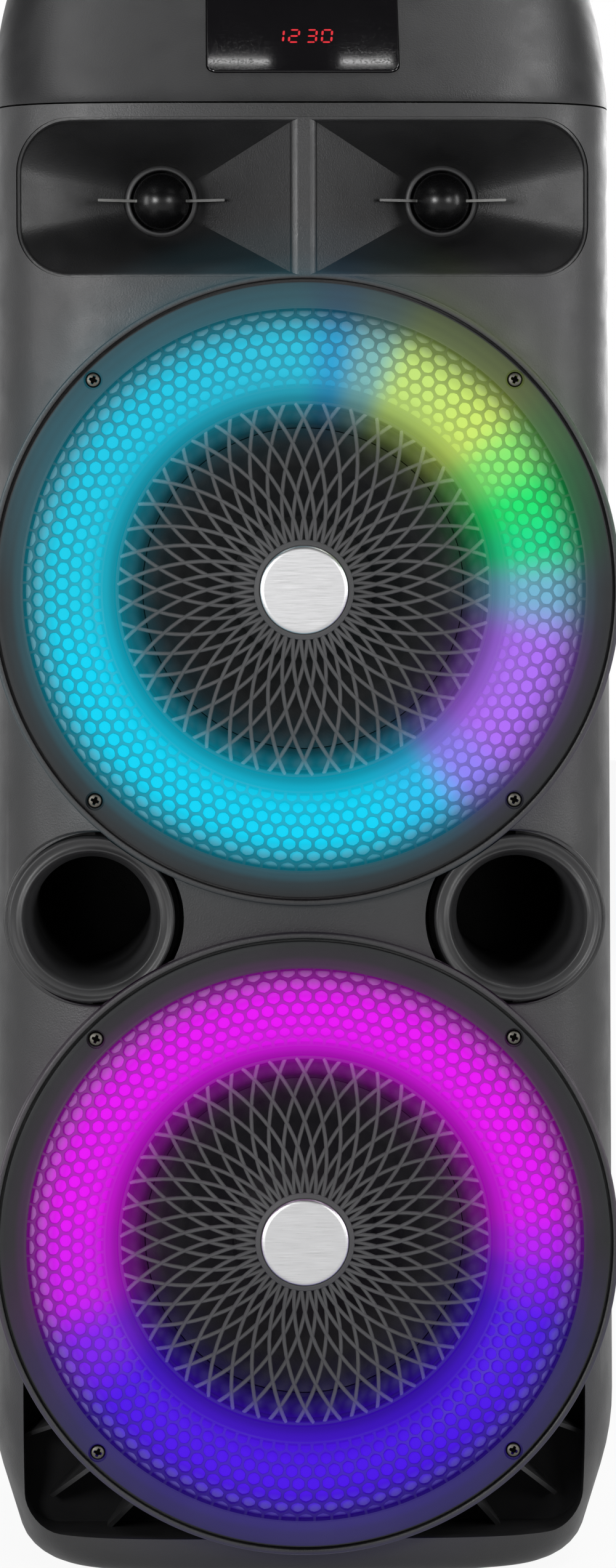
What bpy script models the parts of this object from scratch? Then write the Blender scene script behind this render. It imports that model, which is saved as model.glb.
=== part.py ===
"""Twin woofer party speaker: the separate pieces of the object, in metres, front towards -Y, up +Z."""

import math

import bmesh
import bpy

# Cabinet sizes
BASE_WIDTH = 0.316
TOP_WIDTH = 0.306
CABINET_DEPTH = 0.2865
CORNER_POWER = 5.0
WALL = 0.0035
GAP = 0.0003
FOOT_HEIGHT = 0.004
SEAM_GAP = 0.0008
PARTING_DEPTH = 0.080
BASE_TAPER = 0.019
BASE_TAPER_RISE = 0.062
BASE_ROUND = 0.014
BASE_DEPTH_SHARE = 0.45

# Top cap sizes
CAP_HEIGHT = 0.125
CAP_LEAN = 0.9
CAP_LEAN_EASE = 0.004
CAP_BACK_INSET = 0.016
DECK_SETBACK = 0.080
DECK_TILT = math.radians(6)
PANEL_WIDTH = 0.180
PANEL_LENGTH = 0.086
PANEL_THICK = 0.003
PANEL_SETBACK = 0.058
WINDOW_WIDTH = 0.0934
WINDOW_HEIGHT = 0.055
WINDOW_THICK = 0.003
WINDOW_CORNER = 0.005
WINDOW_RISE = 0.039
KNOB_RADIUS = 0.019
KNOB_HEIGHT = 0.019
BUTTON_RADIUS = 0.0065
BUTTON_PROUD = 0.0026
BUTTON_PITCH = 0.026

# Woofer front sizes
BASE_BORDER = 0.016
WOOFER_GAP = 0.020
RING_RADIUS = 0.150
RIM_WIDTH = 0.003
RIM_PROUD = 0.006
RING_CLEARANCE = 0.0005
DRUM_DEPTH = 0.066
FLANGE_PROUD = 0.001
FLANGE_SEAT = 0.004
FLANGE_WIDTH = 0.013
DOME_CURVE = 0.030
DOME_OUTER_ANGLE = math.radians(35)
DOME_INNER_ANGLE = math.radians(-47)
DOME_THICK = 0.0016
LIGHT_GAP = 0.0005
LIGHT_THICK = 0.002
MESH_STEP = 0.006
MESH_SEAT = 0.013
MESH_THICK = 0.002
MESH_RIM = 0.005
MESH_RISE = 0.003
HUB_RADIUS = 0.024
RIB_HALF = 0.0012
RIB_COUNT = 14
RIB_ROWS = 2
BADGE_RADIUS = 0.0215
SCREW_INSET = 0.006
SCREW_HEAD = 0.00375
SCREW_SHANK = 0.0016
SCREW_LENGTH = 0.012

# Woofer driver sizes
DRIVER_SEAT = 0.036
DRIVER_CLEARANCE = 0.0016
DRIVER_LAND = 0.010
DRIVER_FLANGE_THICK = 0.004
SURROUND_WIDTH = 0.015
COIL_RADIUS = 0.020
MAGNET_RADIUS = 0.060
MAGNET_HEIGHT = 0.020
MOTOR_PLATE = 0.006
BASKET_NECK = 0.008
BASKET_DEPTH = 0.060
BASKET_CAN = 0.010
BASKET_SHEET = 0.0018
COIL_REACH = 0.013
SPIDER_SETBACK = 0.0094
SPIDER_WIDTH = 0.0373
SPIDER_FOLD = 0.0018
SPIDER_THICK = 0.0009
DUST_CAP_RADIUS = 0.034
DUST_CAP_RISE = 0.0095
LED_INNER_GAP = 0.0025
LED_OUTER_GAP = 0.003
LED_THICK = 0.0016

# Horn sizes
HORN_GAP = 0.0015
HORN_BORDER = 0.0065
HORN_SIDE = 0.0135
HORN_HALF_HEIGHT = 0.0385
HORN_CORNER = 0.026
HORN_LIP = 0.0025
HORN_WALL = 0.0019
RIDGE_HALF = 0.0066
THROAT_SHIFT = 0.00405
THROAT_RADIUS = 0.0168
THROAT_DEPTH = 0.058
THROAT_LENGTH = 0.013
PLUG_RADIUS = 0.0134
VANE_HALF = 0.031
VANE_THICK = 0.0013

# Bass port sizes
PORT_LIP = 0.0408
PORT_MOUTH = 0.0348
PORT_BORE = 0.025
PORT_LENGTH = 0.120
PORT_PROUD = 0.005
BOSS_RADIUS = 0.043

# Corner pocket sizes
POCKET_LIP = 0.018
POCKET_CORNER = 0.018
POCKET_DEPTH = 0.050
RIB_ANGLES = (36.2, 46.6, 56.8)
RIB_THICK = 0.0022

# Wheel, handle and back sizes
WHEEL_RADIUS = 0.032
WHEEL_WIDTH = 0.022
WHEEL_INSET = 0.0315
WHEEL_LIFT = 0.0015
AXLE_RADIUS = 0.004
ARCH_CLEARANCE = 0.006
LEG_RADIUS = 0.006
LEG_OFFSET = 0.062
LEG_REACH = 0.270
LEG_TUCK = 0.008
BRIDGE_HEIGHT = 0.012
BRIDGE_DEPTH = 0.014
GUIDE_HEIGHT = 0.062
GUIDE_DEPTH = 0.024
GUIDE_MARGIN = 0.016
GRIP_MARGIN = 0.0335
GRIP_LENGTH = 0.150
GRIP_DEPTH = 0.020
GRIP_HEIGHT = 0.022
FINGER_GAP = 0.020
PLATE_WIDTH = 0.110
PLATE_HEIGHT = 0.080
PLATE_THICK = 0.0034
PLATE_DROP = 0.035
FOOT_WIDTH = 0.022
FOOT_FRONT_SETBACK = 0.032
FOOT_FRONT_INSET = 0.068
FOOT_REAR_SETBACK = 0.036
FOOT_REAR_INSET = 0.088

# Sizes of what is inside
BOARD_WIDTH = 0.120
BOARD_HEIGHT = 0.120
BOARD_THICK = 0.0016
BOARD_SETBACK = 0.0334
BATTERY_WIDTH = 0.096
BATTERY_DEPTH = 0.070
BATTERY_HEIGHT = 0.064
BATTERY_SETBACK = 0.0595
TWEETER_RADIUS = 0.033
TWEETER_FRONT = 0.028
TWEETER_DEPTH = 0.038

# Round pieces are cut into this many flats
SECTION_POINTS = 32
BIG_ROUND = 32
PORT_ROUND = 24
MIDDLE_ROUND = 16
SMALL_ROUND = 12
TINY_ROUND = 6

# Values that follow from the sizes above
FLANGE_INNER = RING_RADIUS - FLANGE_WIDTH
DOME_RISE = DOME_CURVE * (1 - math.cos(DOME_OUTER_ANGLE))
DOME_PEAK = FLANGE_INNER - DOME_CURVE * math.sin(DOME_OUTER_ANGLE)
PROUD = RIM_PROUD + FLANGE_PROUD + DOME_RISE
FRONT_Y = (PROUD - CABINET_DEPTH) / 2
BACK_Y = (PROUD + CABINET_DEPTH) / 2
RIM_Y = FRONT_Y - RIM_PROUD
PARTING_Y = FRONT_Y + PARTING_DEPTH
LOWER_WOOFER_HEIGHT = FOOT_HEIGHT + BASE_BORDER + RING_RADIUS
WOOFER_SPACING = 2 * RING_RADIUS + WOOFER_GAP
UPPER_WOOFER_HEIGHT = LOWER_WOOFER_HEIGHT + WOOFER_SPACING
DRUM_RADIUS = RING_RADIUS + RING_CLEARANCE + RIM_WIDTH
DOME_CENTRE = -FLANGE_PROUD - DOME_RISE + DOME_CURVE
SCREW_CIRCLE = RING_RADIUS - SCREW_INSET
MESH_RADIUS = DOME_PEAK + DOME_CURVE * math.sin(DOME_INNER_ANGLE) - MESH_STEP
DRIVER_CUTOUT = MESH_RADIUS + DRIVER_CLEARANCE
DRIVER_FLANGE = DRIVER_CUTOUT + DRIVER_LAND
CONE_RADIUS = DRIVER_CUTOUT - SURROUND_WIDTH
LED_INNER = DRIVER_FLANGE + LED_INNER_GAP
LED_OUTER = FLANGE_INNER - LED_OUTER_GAP
BASKET_BACK = DRIVER_SEAT + BASKET_DEPTH
# The ports' lips touch both rings
PORT_HEIGHT = LOWER_WOOFER_HEIGHT + WOOFER_SPACING / 2
PORT_OFFSET = math.sqrt((RING_RADIUS + PORT_LIP) ** 2 - (WOOFER_SPACING / 2) ** 2)
HORN_HEIGHT = UPPER_WOOFER_HEIGHT + RING_RADIUS + HORN_GAP + HORN_HALF_HEIGHT
HORN_HALF_WIDTH = TOP_WIDTH / 2 - HORN_SIDE
THROAT_OFFSET = (HORN_HALF_WIDTH + RIDGE_HALF) / 2 - THROAT_SHIFT
SEAM_HEIGHT = HORN_HEIGHT + HORN_HALF_HEIGHT + HORN_BORDER
POCKET_HALF_WIDTH = BASE_WIDTH / 2 - BASE_TAPER
POCKET_FLOOR = FOOT_HEIGHT + POCKET_LIP
GRIP_Y = BACK_Y - GRIP_MARGIN
LEG_BOTTOM = SEAM_HEIGHT - LEG_REACH
PLATE_LEVEL = LEG_BOTTOM - BOARD_HEIGHT / 2 - PLATE_DROP
WHEEL_OFFSET = BASE_WIDTH / 2 - WHEEL_INSET
WHEEL_Y = BACK_Y - WHEEL_RADIUS - WHEEL_LIFT
WHEEL_Z = WHEEL_RADIUS + WHEEL_LIFT


# Building blocks
def make(name, points, faces):
    """A closed mesh object from points and faces, with its faces turned outwards."""
    mesh = bpy.data.meshes.new(name)
    mesh.from_pydata(points, [], faces)
    work = bmesh.new()
    work.from_mesh(mesh)
    bmesh.ops.recalc_face_normals(work, faces=work.faces)
    work.to_mesh(mesh)
    work.free()
    obj = bpy.data.objects.new(name, mesh)
    bpy.context.scene.collection.objects.link(obj)
    return obj


def loft(name, rings, split=False):
    """A solid through rings of equally many points, closed by a face at each end."""
    count = len(rings[0])
    points = [point for ring in rings for point in ring]
    faces = [tuple(range(count)), tuple(range(len(points) - count, len(points)))]
    for row in range(len(rings) - 1):
        for step in range(count):
            after = (step + 1) % count
            low = row * count
            high = low + count
            corners = (low + step, low + after, high + after, high + step)
            if split:
                faces += [corners[:3], (corners[0], corners[2], corners[3])]
            else:
                faces.append(corners)
    return make(name, points, faces)


def lathe(name, profile, count, location=(0, 0, 0), turn=(0, 0, 0)):
    """A solid of revolution about local Y, from a closed profile of (radius, distance) points."""
    points = []
    rings = []
    for radius, along in profile:
        ring = []
        for step in range(count if radius > 0 else 1):
            angle = 2 * math.pi * (step + 0.25) / count
            ring.append(len(points))
            points.append((radius * math.cos(angle), along, radius * math.sin(angle)))
        rings.append(ring)
    faces = []
    for first, second in zip(rings, rings[1:] + rings[:1]):
        if len(first) == len(second) == 1:
            continue
        for step in range(count):
            after = (step + 1) % count
            face = [first[step % len(first)], first[after % len(first)]]
            face += [second[after % len(second)], second[step % len(second)]]
            faces.append(tuple(dict.fromkeys(face)))
    obj = make(name, points, faces)
    obj.location = location
    obj.rotation_euler = turn
    return obj


def box(name, low, high):
    """A box between two corners."""
    bottom = [(low[0], low[1]), (high[0], low[1]), (high[0], high[1]), (low[0], high[1])]
    return loft(name, [[(x, y, z) for x, y in bottom] for z in (low[2], high[2])])


def prism(name, outline, low, high):
    """An outline of (x, z) points carried along Y."""
    return loft(name, [[(x, y, z) for x, z in outline] for y in (low, high)])


def rounded(half_width, half_height, radius, steps=5):
    """A rectangle with round corners, as (x, z) points about its centre."""
    points = []
    for quarter, (side, end) in enumerate(((1, 1), (-1, 1), (-1, -1), (1, -1))):
        for step in range(steps + 1):
            angle = math.pi / 2 * (quarter + step / steps)
            x = side * (half_width - radius) + radius * math.cos(angle)
            z = end * (half_height - radius) + radius * math.sin(angle)
            points.append((x, z))
    return points


def bake(obj):
    """Puts the result of an object's modifiers in its mesh."""
    bpy.context.view_layer.update()
    graph = bpy.context.evaluated_depsgraph_get()
    old = obj.data
    obj.data = bpy.data.meshes.new_from_object(obj.evaluated_get(graph))
    obj.modifiers.clear()
    bpy.data.meshes.remove(old)


def combine(obj, operation, *others, solver="EXACT"):
    """Joins, cuts or keeps the overlap with the other objects, which are used up."""
    for other in others:
        modifier = obj.modifiers.new(operation.title(), "BOOLEAN")
        modifier.operation = operation
        modifier.solver = solver
        modifier.object = other
        bake(obj)
        bpy.data.objects.remove(other)
    return obj


def cylinder(name, radius, low, high, location, count=MIDDLE_ROUND, turn=(0, 0, 0)):
    """A plain round bar along local Y."""
    profile = [(0, low), (radius, low), (radius, high), (0, high)]
    return lathe(name, profile, count, location, turn)


def finish(obj, material):
    """Gives a piece its material, and smooth shading on its round faces."""
    obj.data.materials.clear()
    obj.data.materials.append(material)
    obj.data.shade_smooth()
    obj.data.set_sharp_from_angle(angle=math.radians(32))
    return obj


def surface(name, colour, roughness, metallic=0.0):
    """A Principled material."""
    material = bpy.data.materials.new(name)
    material.use_nodes = True
    shader = material.node_tree.nodes["Principled BSDF"]
    shader.inputs["Base Color"].default_value = (*colour, 1)
    shader.inputs["Roughness"].default_value = roughness
    shader.inputs["Metallic"].default_value = metallic
    return material


# Shape of the cabinet
def base_inset(height):
    """How far the lowest part of the cabinet draws in at a height."""
    rise = height - FOOT_HEIGHT
    inset = BASE_TAPER * max(0, 1 - rise / BASE_TAPER_RISE)
    if rise < BASE_ROUND:
        inset += BASE_ROUND - math.sqrt(BASE_ROUND**2 - (BASE_ROUND - max(rise, 0)) ** 2)
    return inset


def body_level(height):
    """Half width, front and back of the cabinet at a height."""
    share = (height - FOOT_HEIGHT) / (SEAM_HEIGHT - FOOT_HEIGHT)
    inset = base_inset(height)
    half_width = (BASE_WIDTH + (TOP_WIDTH - BASE_WIDTH) * share) / 2 - inset
    return half_width, FRONT_Y + BASE_DEPTH_SHARE * inset, BACK_Y - BASE_DEPTH_SHARE * inset


def cap_front(rise):
    """Front of the cap on its middle line, at a height over the seam."""
    return FRONT_Y + CAP_LEAN * rise**2 / (rise + CAP_LEAN_EASE)


def cap_level(share):
    """Half width, front and back of the top cap at a share of its height."""
    half_width = TOP_WIDTH / 2 * (1 - share**2.3) ** 0.2
    return half_width, cap_front(share * CAP_HEIGHT), BACK_Y - CAP_BACK_INSET * share**3


def section(level, height, inset):
    """One level ring of points, a superellipse between the front and the back."""
    half_width, front, back = level
    half_depth = (back - front) / 2 - inset
    ring = []
    for step in range(SECTION_POINTS):
        angle = 2 * math.pi * (step + 0.5) / SECTION_POINTS
        x = math.copysign(abs(math.cos(angle)) ** (2 / CORNER_POWER), math.cos(angle))
        y = math.copysign(abs(math.sin(angle)) ** (2 / CORNER_POWER), math.sin(angle))
        ring.append(((half_width - inset) * x, (front + back) / 2 + half_depth * y, height))
    return ring


def body(name, inset, bottom, top):
    """The cabinet's solid between two heights, drawn in by a wall thickness."""
    heights = [bottom]
    for rise in (0.002, 0.006, BASE_ROUND, BASE_TAPER_RISE):
        if bottom < FOOT_HEIGHT + rise < top:
            heights.append(FOOT_HEIGHT + rise)
    heights.append(top)
    return loft(name, [section(body_level(height), height, inset) for height in heights])


def skin_y(x, height, inset=0.0):
    """Y of the cabinet's front skin at a place."""
    half_width, front, back = body_level(height)
    half_depth = (back - front) / 2 - inset
    share = min(abs(x) / (half_width - inset), 1)
    return (front + back) / 2 - half_depth * (1 - share**CORNER_POWER) ** (1 / CORNER_POWER)


def drum_location(height):
    return (0, RIM_Y, height)


def dome(angle, offset):
    """A point of the light ring's round cover, at an angle and an offset from its outer face."""
    reach = DOME_CURVE + offset
    return DOME_PEAK + reach * math.sin(angle), DOME_CENTRE - reach * math.cos(angle)


def dome_arc(offset, first, last, steps):
    """Points along the round cover from one angle to another."""
    return [dome(first + (last - first) * step / steps, offset) for step in range(steps + 1)]


def screw_places():
    """The four places of a woofer cover's screws, as (x, z) from its centre."""
    places = []
    for quarter in range(4):
        angle = math.pi / 4 + quarter * math.pi / 2
        places.append((SCREW_CIRCLE * math.cos(angle), SCREW_CIRCLE * math.sin(angle)))
    return places


# Front moulding
def drum(name, height):
    """The round seat that carries a woofer and its light ring."""
    inner = RING_RADIUS + RING_CLEARANCE
    ledge = FLANGE_SEAT + GAP
    profile = [
        (DRUM_RADIUS, 0),
        (DRUM_RADIUS, DRUM_DEPTH),
        (inner, DRUM_DEPTH),
        (inner, ledge + WALL),
        (FLANGE_INNER + WALL, ledge + WALL),
        (FLANGE_INNER + WALL, DRIVER_SEAT + WALL),
        (DRIVER_CUTOUT, DRIVER_SEAT + WALL),
        (DRIVER_CUTOUT, DRIVER_SEAT),
        (FLANGE_INNER + RING_CLEARANCE, DRIVER_SEAT),
        (FLANGE_INNER + RING_CLEARANCE, ledge),
        (inner, ledge),
        (inner, 0),
    ]
    return lathe(name, profile, BIG_ROUND, drum_location(height))


def pocket_outline(grow):
    """The lower corners' opening, before the drum is taken out of it."""
    half_height = (LOWER_WOOFER_HEIGHT - POCKET_FLOOR) / 2 + grow
    middle = (LOWER_WOOFER_HEIGHT + POCKET_FLOOR) / 2
    outline = rounded(POCKET_HALF_WIDTH + grow, half_height, POCKET_CORNER + grow)
    return [(x, z + middle) for x, z in outline]


def gusset(name, side, angle):
    """One rib between the drum and the floor of a lower corner pocket."""
    turn = math.radians(angle)
    along = (side * math.cos(turn), -math.sin(turn))
    across = (-along[1], along[0])
    start = DRUM_RADIUS - WALL / 2
    # The outermost reach stops in the pocket's wall
    reach = min(
        (POCKET_HALF_WIDTH + WALL / 2) / math.cos(turn),
        (LOWER_WOOFER_HEIGHT - POCKET_FLOOR + WALL / 2) / math.sin(turn),
        DRUM_RADIUS + 0.030,
    )
    shallow = RIM_Y + 0.008
    floor = FRONT_Y + POCKET_DEPTH + WALL / 2
    side_view = [(start, shallow), (reach, FRONT_Y + POCKET_DEPTH * 0.82), (reach, floor), (start, floor)]
    rings = []
    for half in (-RIB_THICK / 2, RIB_THICK / 2):
        ring = []
        for distance, y in side_view:
            x = along[0] * distance + across[0] * half
            z = LOWER_WOOFER_HEIGHT + along[1] * distance + across[1] * half
            ring.append((x, y, z))
        rings.append(ring)
    return loft(name, rings)


def merge(obj, operation, *others):
    """As combine, with the solver for the drum and boss walls, which cross at a slant."""
    return combine(obj, operation, *others, solver="MANIFOLD")


def build_front_baffle():
    front = RIM_Y - 0.05
    baffle = body("front_baffle", 0, FOOT_HEIGHT, SEAM_HEIGHT)
    inside = body("inside", WALL, FOOT_HEIGHT + WALL, SEAM_HEIGHT + 0.05)
    behind = box("behind", (-1, PARTING_Y, -1), (1, 1, 1))
    merge(baffle, "DIFFERENCE", inside, behind)
    # The pocket's walls, before the opening is cut in them
    block = prism("block", pocket_outline(WALL), front, FRONT_Y + POCKET_DEPTH + WALL)
    merge(block, "INTERSECT", body("limit", WALL / 2, FOOT_HEIGHT + WALL / 2, SEAM_HEIGHT))
    merge(baffle, "UNION", block)
    for side in (-1, 1):
        boss_front = FRONT_Y - PORT_PROUD + 0.0046
        place = (side * PORT_OFFSET, 0, PORT_HEIGHT)
        low = skin_y(PORT_OFFSET + BOSS_RADIUS, PORT_HEIGHT, WALL)
        merge(baffle, "UNION", cylinder("boss", BOSS_RADIUS, boss_front, low + 0.004, place, PORT_ROUND))
    for height in (LOWER_WOOFER_HEIGHT, UPPER_WOOFER_HEIGHT):
        place = drum_location(height)
        clear = cylinder("clear", DRUM_RADIUS - WALL / 4, -0.05, DRUM_DEPTH, place, BIG_ROUND)
        merge(baffle, "DIFFERENCE", clear)
        merge(baffle, "UNION", drum("drum", height))
    pocket = prism("pocket", pocket_outline(0), front, FRONT_Y + POCKET_DEPTH)
    place = drum_location(LOWER_WOOFER_HEIGHT)
    keep = cylinder("keep", DRUM_RADIUS + GAP, -0.1, 0.2, place, BIG_ROUND)
    merge(baffle, "DIFFERENCE", merge(pocket, "DIFFERENCE", keep))
    for side in (-1, 1):
        for angle in RIB_ANGLES:
            merge(baffle, "UNION", gusset("gusset", side, angle))
    mouth = [(x, z + HORN_HEIGHT) for x, z in rounded(HORN_HALF_WIDTH, HORN_HALF_HEIGHT, HORN_CORNER)]
    merge(baffle, "DIFFERENCE", prism("mouth", mouth, front, PARTING_Y + 0.01))
    for height in (LOWER_WOOFER_HEIGHT, UPPER_WOOFER_HEIGHT):
        for x, z in screw_places():
            place = (x, RIM_Y, height + z)
            hole = cylinder("hole", SCREW_SHANK + GAP, 0, FLANGE_SEAT + 2 * WALL, place, TINY_ROUND)
            merge(baffle, "DIFFERENCE", hole)
    for side in (-1, 1):
        place = (side * PORT_OFFSET, 0, PORT_HEIGHT)
        bore = PORT_LIP - 0.0048 + GAP
        merge(baffle, "DIFFERENCE", cylinder("bore", bore, front, 0, place, PORT_ROUND))
    return baffle


# Rear moulding
def arch_outline(grow):
    """The wheel arch from the side, as (y, z) points, open at the back and below."""
    radius = WHEEL_RADIUS + ARCH_CLEARANCE + grow
    points = [(BACK_Y + 0.05, -0.05), (WHEEL_Y - radius, -0.05)]
    for step in range(6):
        angle = math.pi - math.pi / 2 * step / 5
        points.append((WHEEL_Y + radius * math.cos(angle), WHEEL_Z + radius * math.sin(angle)))
    points.append((BACK_Y + 0.05, WHEEL_Z + radius))
    return points


def arch(name, side, grow):
    """The space of one wheel arch."""
    inner = WHEEL_OFFSET - WHEEL_WIDTH / 2 - ARCH_CLEARANCE + 0.002 - grow
    ends = (side * inner, side * 0.3)
    return loft(name, [[(x, y, z) for y, z in arch_outline(grow)] for x in ends])


def build_rear_shell():
    shell = body("rear_shell", 0, FOOT_HEIGHT, SEAM_HEIGHT)
    inside = body("inside", WALL, FOOT_HEIGHT + WALL, SEAM_HEIGHT + 0.05)
    for side in (-1, 1):
        combine(inside, "DIFFERENCE", arch("arch_wall", side, WALL))
    half_x = PLATE_WIDTH / 2 + WALL
    half_z = PLATE_HEIGHT / 2 + WALL
    tray = box("tray", (-half_x, BACK_Y - 0.008, PLATE_LEVEL - half_z), (half_x, BACK_Y + 0.1, PLATE_LEVEL + half_z))
    combine(inside, "DIFFERENCE", tray)
    ahead = box("ahead", (-1, -1, -1), (1, PARTING_Y + GAP, 1))
    combine(shell, "DIFFERENCE", ahead, inside)
    for side in (-1, 1):
        combine(shell, "DIFFERENCE", arch("arch", side, 0))
    half_x = PLATE_WIDTH / 2 + GAP
    half_z = PLATE_HEIGHT / 2 + GAP
    seat = BACK_Y - PLATE_THICK - 2 * GAP
    pocket = box("pocket", (-half_x, seat, PLATE_LEVEL - half_z), (half_x, 1, PLATE_LEVEL + half_z))
    opening = box(
        "opening",
        (-half_x + 0.008, BACK_Y - 0.05, PLATE_LEVEL - half_z + 0.008),
        (half_x - 0.008, 1, PLATE_LEVEL + half_z - 0.008),
    )
    place = (0, WHEEL_Y, WHEEL_Z)
    axle_hole = cylinder("axle_hole", AXLE_RADIUS + GAP, -0.3, 0.3, place, SMALL_ROUND, (0, 0, -math.pi / 2))
    return combine(shell, "DIFFERENCE", pocket, opening, axle_hole)


# Top moulding and controls
def deck_point(along):
    """A point on the middle line of the control deck, a distance up from its front edge."""
    rise = 0.0
    while cap_front(rise) < FRONT_Y + DECK_SETBACK:
        rise += 0.0002
    y = FRONT_Y + DECK_SETBACK + along * math.cos(DECK_TILT)
    return (0, y, SEAM_HEIGHT + rise + along * math.sin(DECK_TILT))


def on_deck(obj, along, across=0.0):
    """Places a piece whose local Z stands on the deck."""
    point = deck_point(along)
    obj.location = (across, point[1], point[2])
    obj.rotation_euler = (DECK_TILT, 0, 0)
    return obj


def deck_at(y):
    """Height of the deck at a place."""
    start = deck_point(0)
    return start[2] + (y - start[1]) * math.tan(DECK_TILT)


def window_frame(obj):
    """Places a piece whose local -Y looks out of the display window."""
    slope = (cap_front(WINDOW_RISE + 0.01) - cap_front(WINDOW_RISE - 0.01)) / 0.02
    obj.location = (0, cap_front(WINDOW_RISE), SEAM_HEIGHT + WINDOW_RISE)
    obj.rotation_euler = (-math.atan(slope), 0, 0)
    return obj


def cap_solid(name, inset, bottom):
    """The cap's solid, drawn in by a wall thickness, from a height up."""
    rings = [section(cap_level(0), bottom, inset)]
    for share in (0.03, 0.16, 0.36, 0.55, 0.7, 0.82, 0.92):
        rings.append(section(cap_level(share), SEAM_HEIGHT + share * CAP_HEIGHT, inset))
    solid = loft(name, rings)
    above = on_deck(box("above", (-1, -1, -inset), (1, 1, 1)), 0)
    return combine(solid, "DIFFERENCE", above)


def grip_floor():
    """Height of the floor under the handle's grip."""
    return deck_at(GRIP_Y) - GRIP_HEIGHT - 0.005


def build_top_cap():
    cap = cap_solid("top_cap", 0, SEAM_HEIGHT + SEAM_GAP)
    inside = cap_solid("inside", WALL, SEAM_HEIGHT - 0.05)
    half = GRIP_LENGTH / 2 + 0.002
    near = GRIP_Y - GRIP_DEPTH / 2 - FINGER_GAP
    far = GRIP_Y + GRIP_DEPTH / 2 + 0.002
    floor = grip_floor()
    cup = box("cup", (-half - WALL, near - WALL, floor - WALL), (half + WALL, far + WALL, 1))
    combine(cap, "DIFFERENCE", combine(inside, "DIFFERENCE", cup))
    combine(cap, "DIFFERENCE", box("recess", (-half, near, floor), (half, far, 1)))
    for side in (-1, 1):
        place = (side * LEG_OFFSET, GRIP_Y, 0)
        turn = (math.pi / 2, 0, 0)
        combine(cap, "DIFFERENCE", cylinder("leg", LEG_RADIUS + 2 * GAP, 0.7, 0.9, place, SMALL_ROUND, turn))
    outline = rounded(WINDOW_WIDTH / 2 + GAP, WINDOW_HEIGHT / 2 + GAP, WINDOW_CORNER, 3)
    combine(cap, "DIFFERENCE", window_frame(prism("window", outline, -0.02, 0.02)))
    half_x = PANEL_WIDTH / 2 + GAP
    half_y = PANEL_LENGTH / 2 + GAP
    seat = box("seat", (-half_x, -half_y, GAP - PANEL_THICK + 0.0004), (half_x, half_y, 0.1))
    opening = box("opening", (0.006 - half_x, 0.006 - half_y, -0.03), (half_x - 0.006, half_y - 0.006, 0.1))
    combine(cap, "DIFFERENCE", on_deck(seat, PANEL_SETBACK), on_deck(opening, PANEL_SETBACK))
    return cap


def knob_place():
    return (0.0, PANEL_SETBACK)


def button_places():
    """Name, distance across and distance up the deck of each push button."""
    names = ("mode_button", "play_button", "light_button", "echo_button")
    spots = (-2.5, -1.5, 1.5, 2.5)
    return [(name, spot * BUTTON_PITCH, PANEL_SETBACK) for name, spot in zip(names, spots)]


def build_control_panel():
    half_x = PANEL_WIDTH / 2
    half_y = PANEL_LENGTH / 2
    base = 0.0004 + 2 * GAP - PANEL_THICK
    rings = []
    for z, inset in ((base, 0), (0.0005, 0), (0.001, 0.0006)):
        outline = rounded(half_x - inset, half_y - inset, 0.004, 3)
        rings.append([(x, y, z) for x, y in outline])
    panel = on_deck(loft("control_panel", rings), PANEL_SETBACK)
    turn = (DECK_TILT + math.pi / 2, 0, 0)
    holes = [(across, along, BUTTON_RADIUS + 0.0004) for _, across, along in button_places()]
    holes.append((*knob_place(), 0.0034))
    for across, along, radius in holes:
        point = deck_point(along)
        place = (across, point[1], point[2])
        combine(panel, "DIFFERENCE", cylinder("hole", radius, -0.02, 0.02, place, SMALL_ROUND, turn))
    return panel


def build_knob():
    profile = [
        (0, KNOB_HEIGHT),
        (KNOB_RADIUS - 0.003, KNOB_HEIGHT),
        (KNOB_RADIUS - 0.001, KNOB_HEIGHT - 0.0015),
        (KNOB_RADIUS, 0.0018),
        (0.003, 0.0018),
        (0.003, -0.012),
        (0, -0.012),
    ]
    across, along = knob_place()
    point = deck_point(along)
    return lathe("volume_knob", profile, MIDDLE_ROUND, (across, point[1], point[2]), (DECK_TILT + math.pi / 2, 0, 0))


def build_button(name, across, along):
    top = 0.001 + BUTTON_PROUD
    profile = [
        (0, top),
        (BUTTON_RADIUS - 0.0008, top),
        (BUTTON_RADIUS, top - 0.0008),
        (BUTTON_RADIUS, -0.0036),
        (BUTTON_RADIUS + 0.0013, -0.0036),
        (BUTTON_RADIUS + 0.0013, -0.005),
        (0, -0.005),
    ]
    point = deck_point(along)
    return lathe(name, profile, SMALL_ROUND, (across, point[1], point[2]), (DECK_TILT + math.pi / 2, 0, 0))


def build_control_board():
    half_x = PANEL_WIDTH / 2 - 0.012
    half_y = PANEL_LENGTH / 2 - 0.012
    return on_deck(box("control_board", (-half_x, -half_y, -0.0178), (half_x, half_y, -0.016)), PANEL_SETBACK)


def build_display_window():
    rings = []
    for y, inset in ((WINDOW_THICK, 0), (-0.0004, 0), (-0.0008, 0.0006)):
        outline = rounded(WINDOW_WIDTH / 2 - inset, WINDOW_HEIGHT / 2 - inset, WINDOW_CORNER - inset, 3)
        rings.append([(x, y, z) for x, z in outline])
    return window_frame(loft("display_window", rings))


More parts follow.
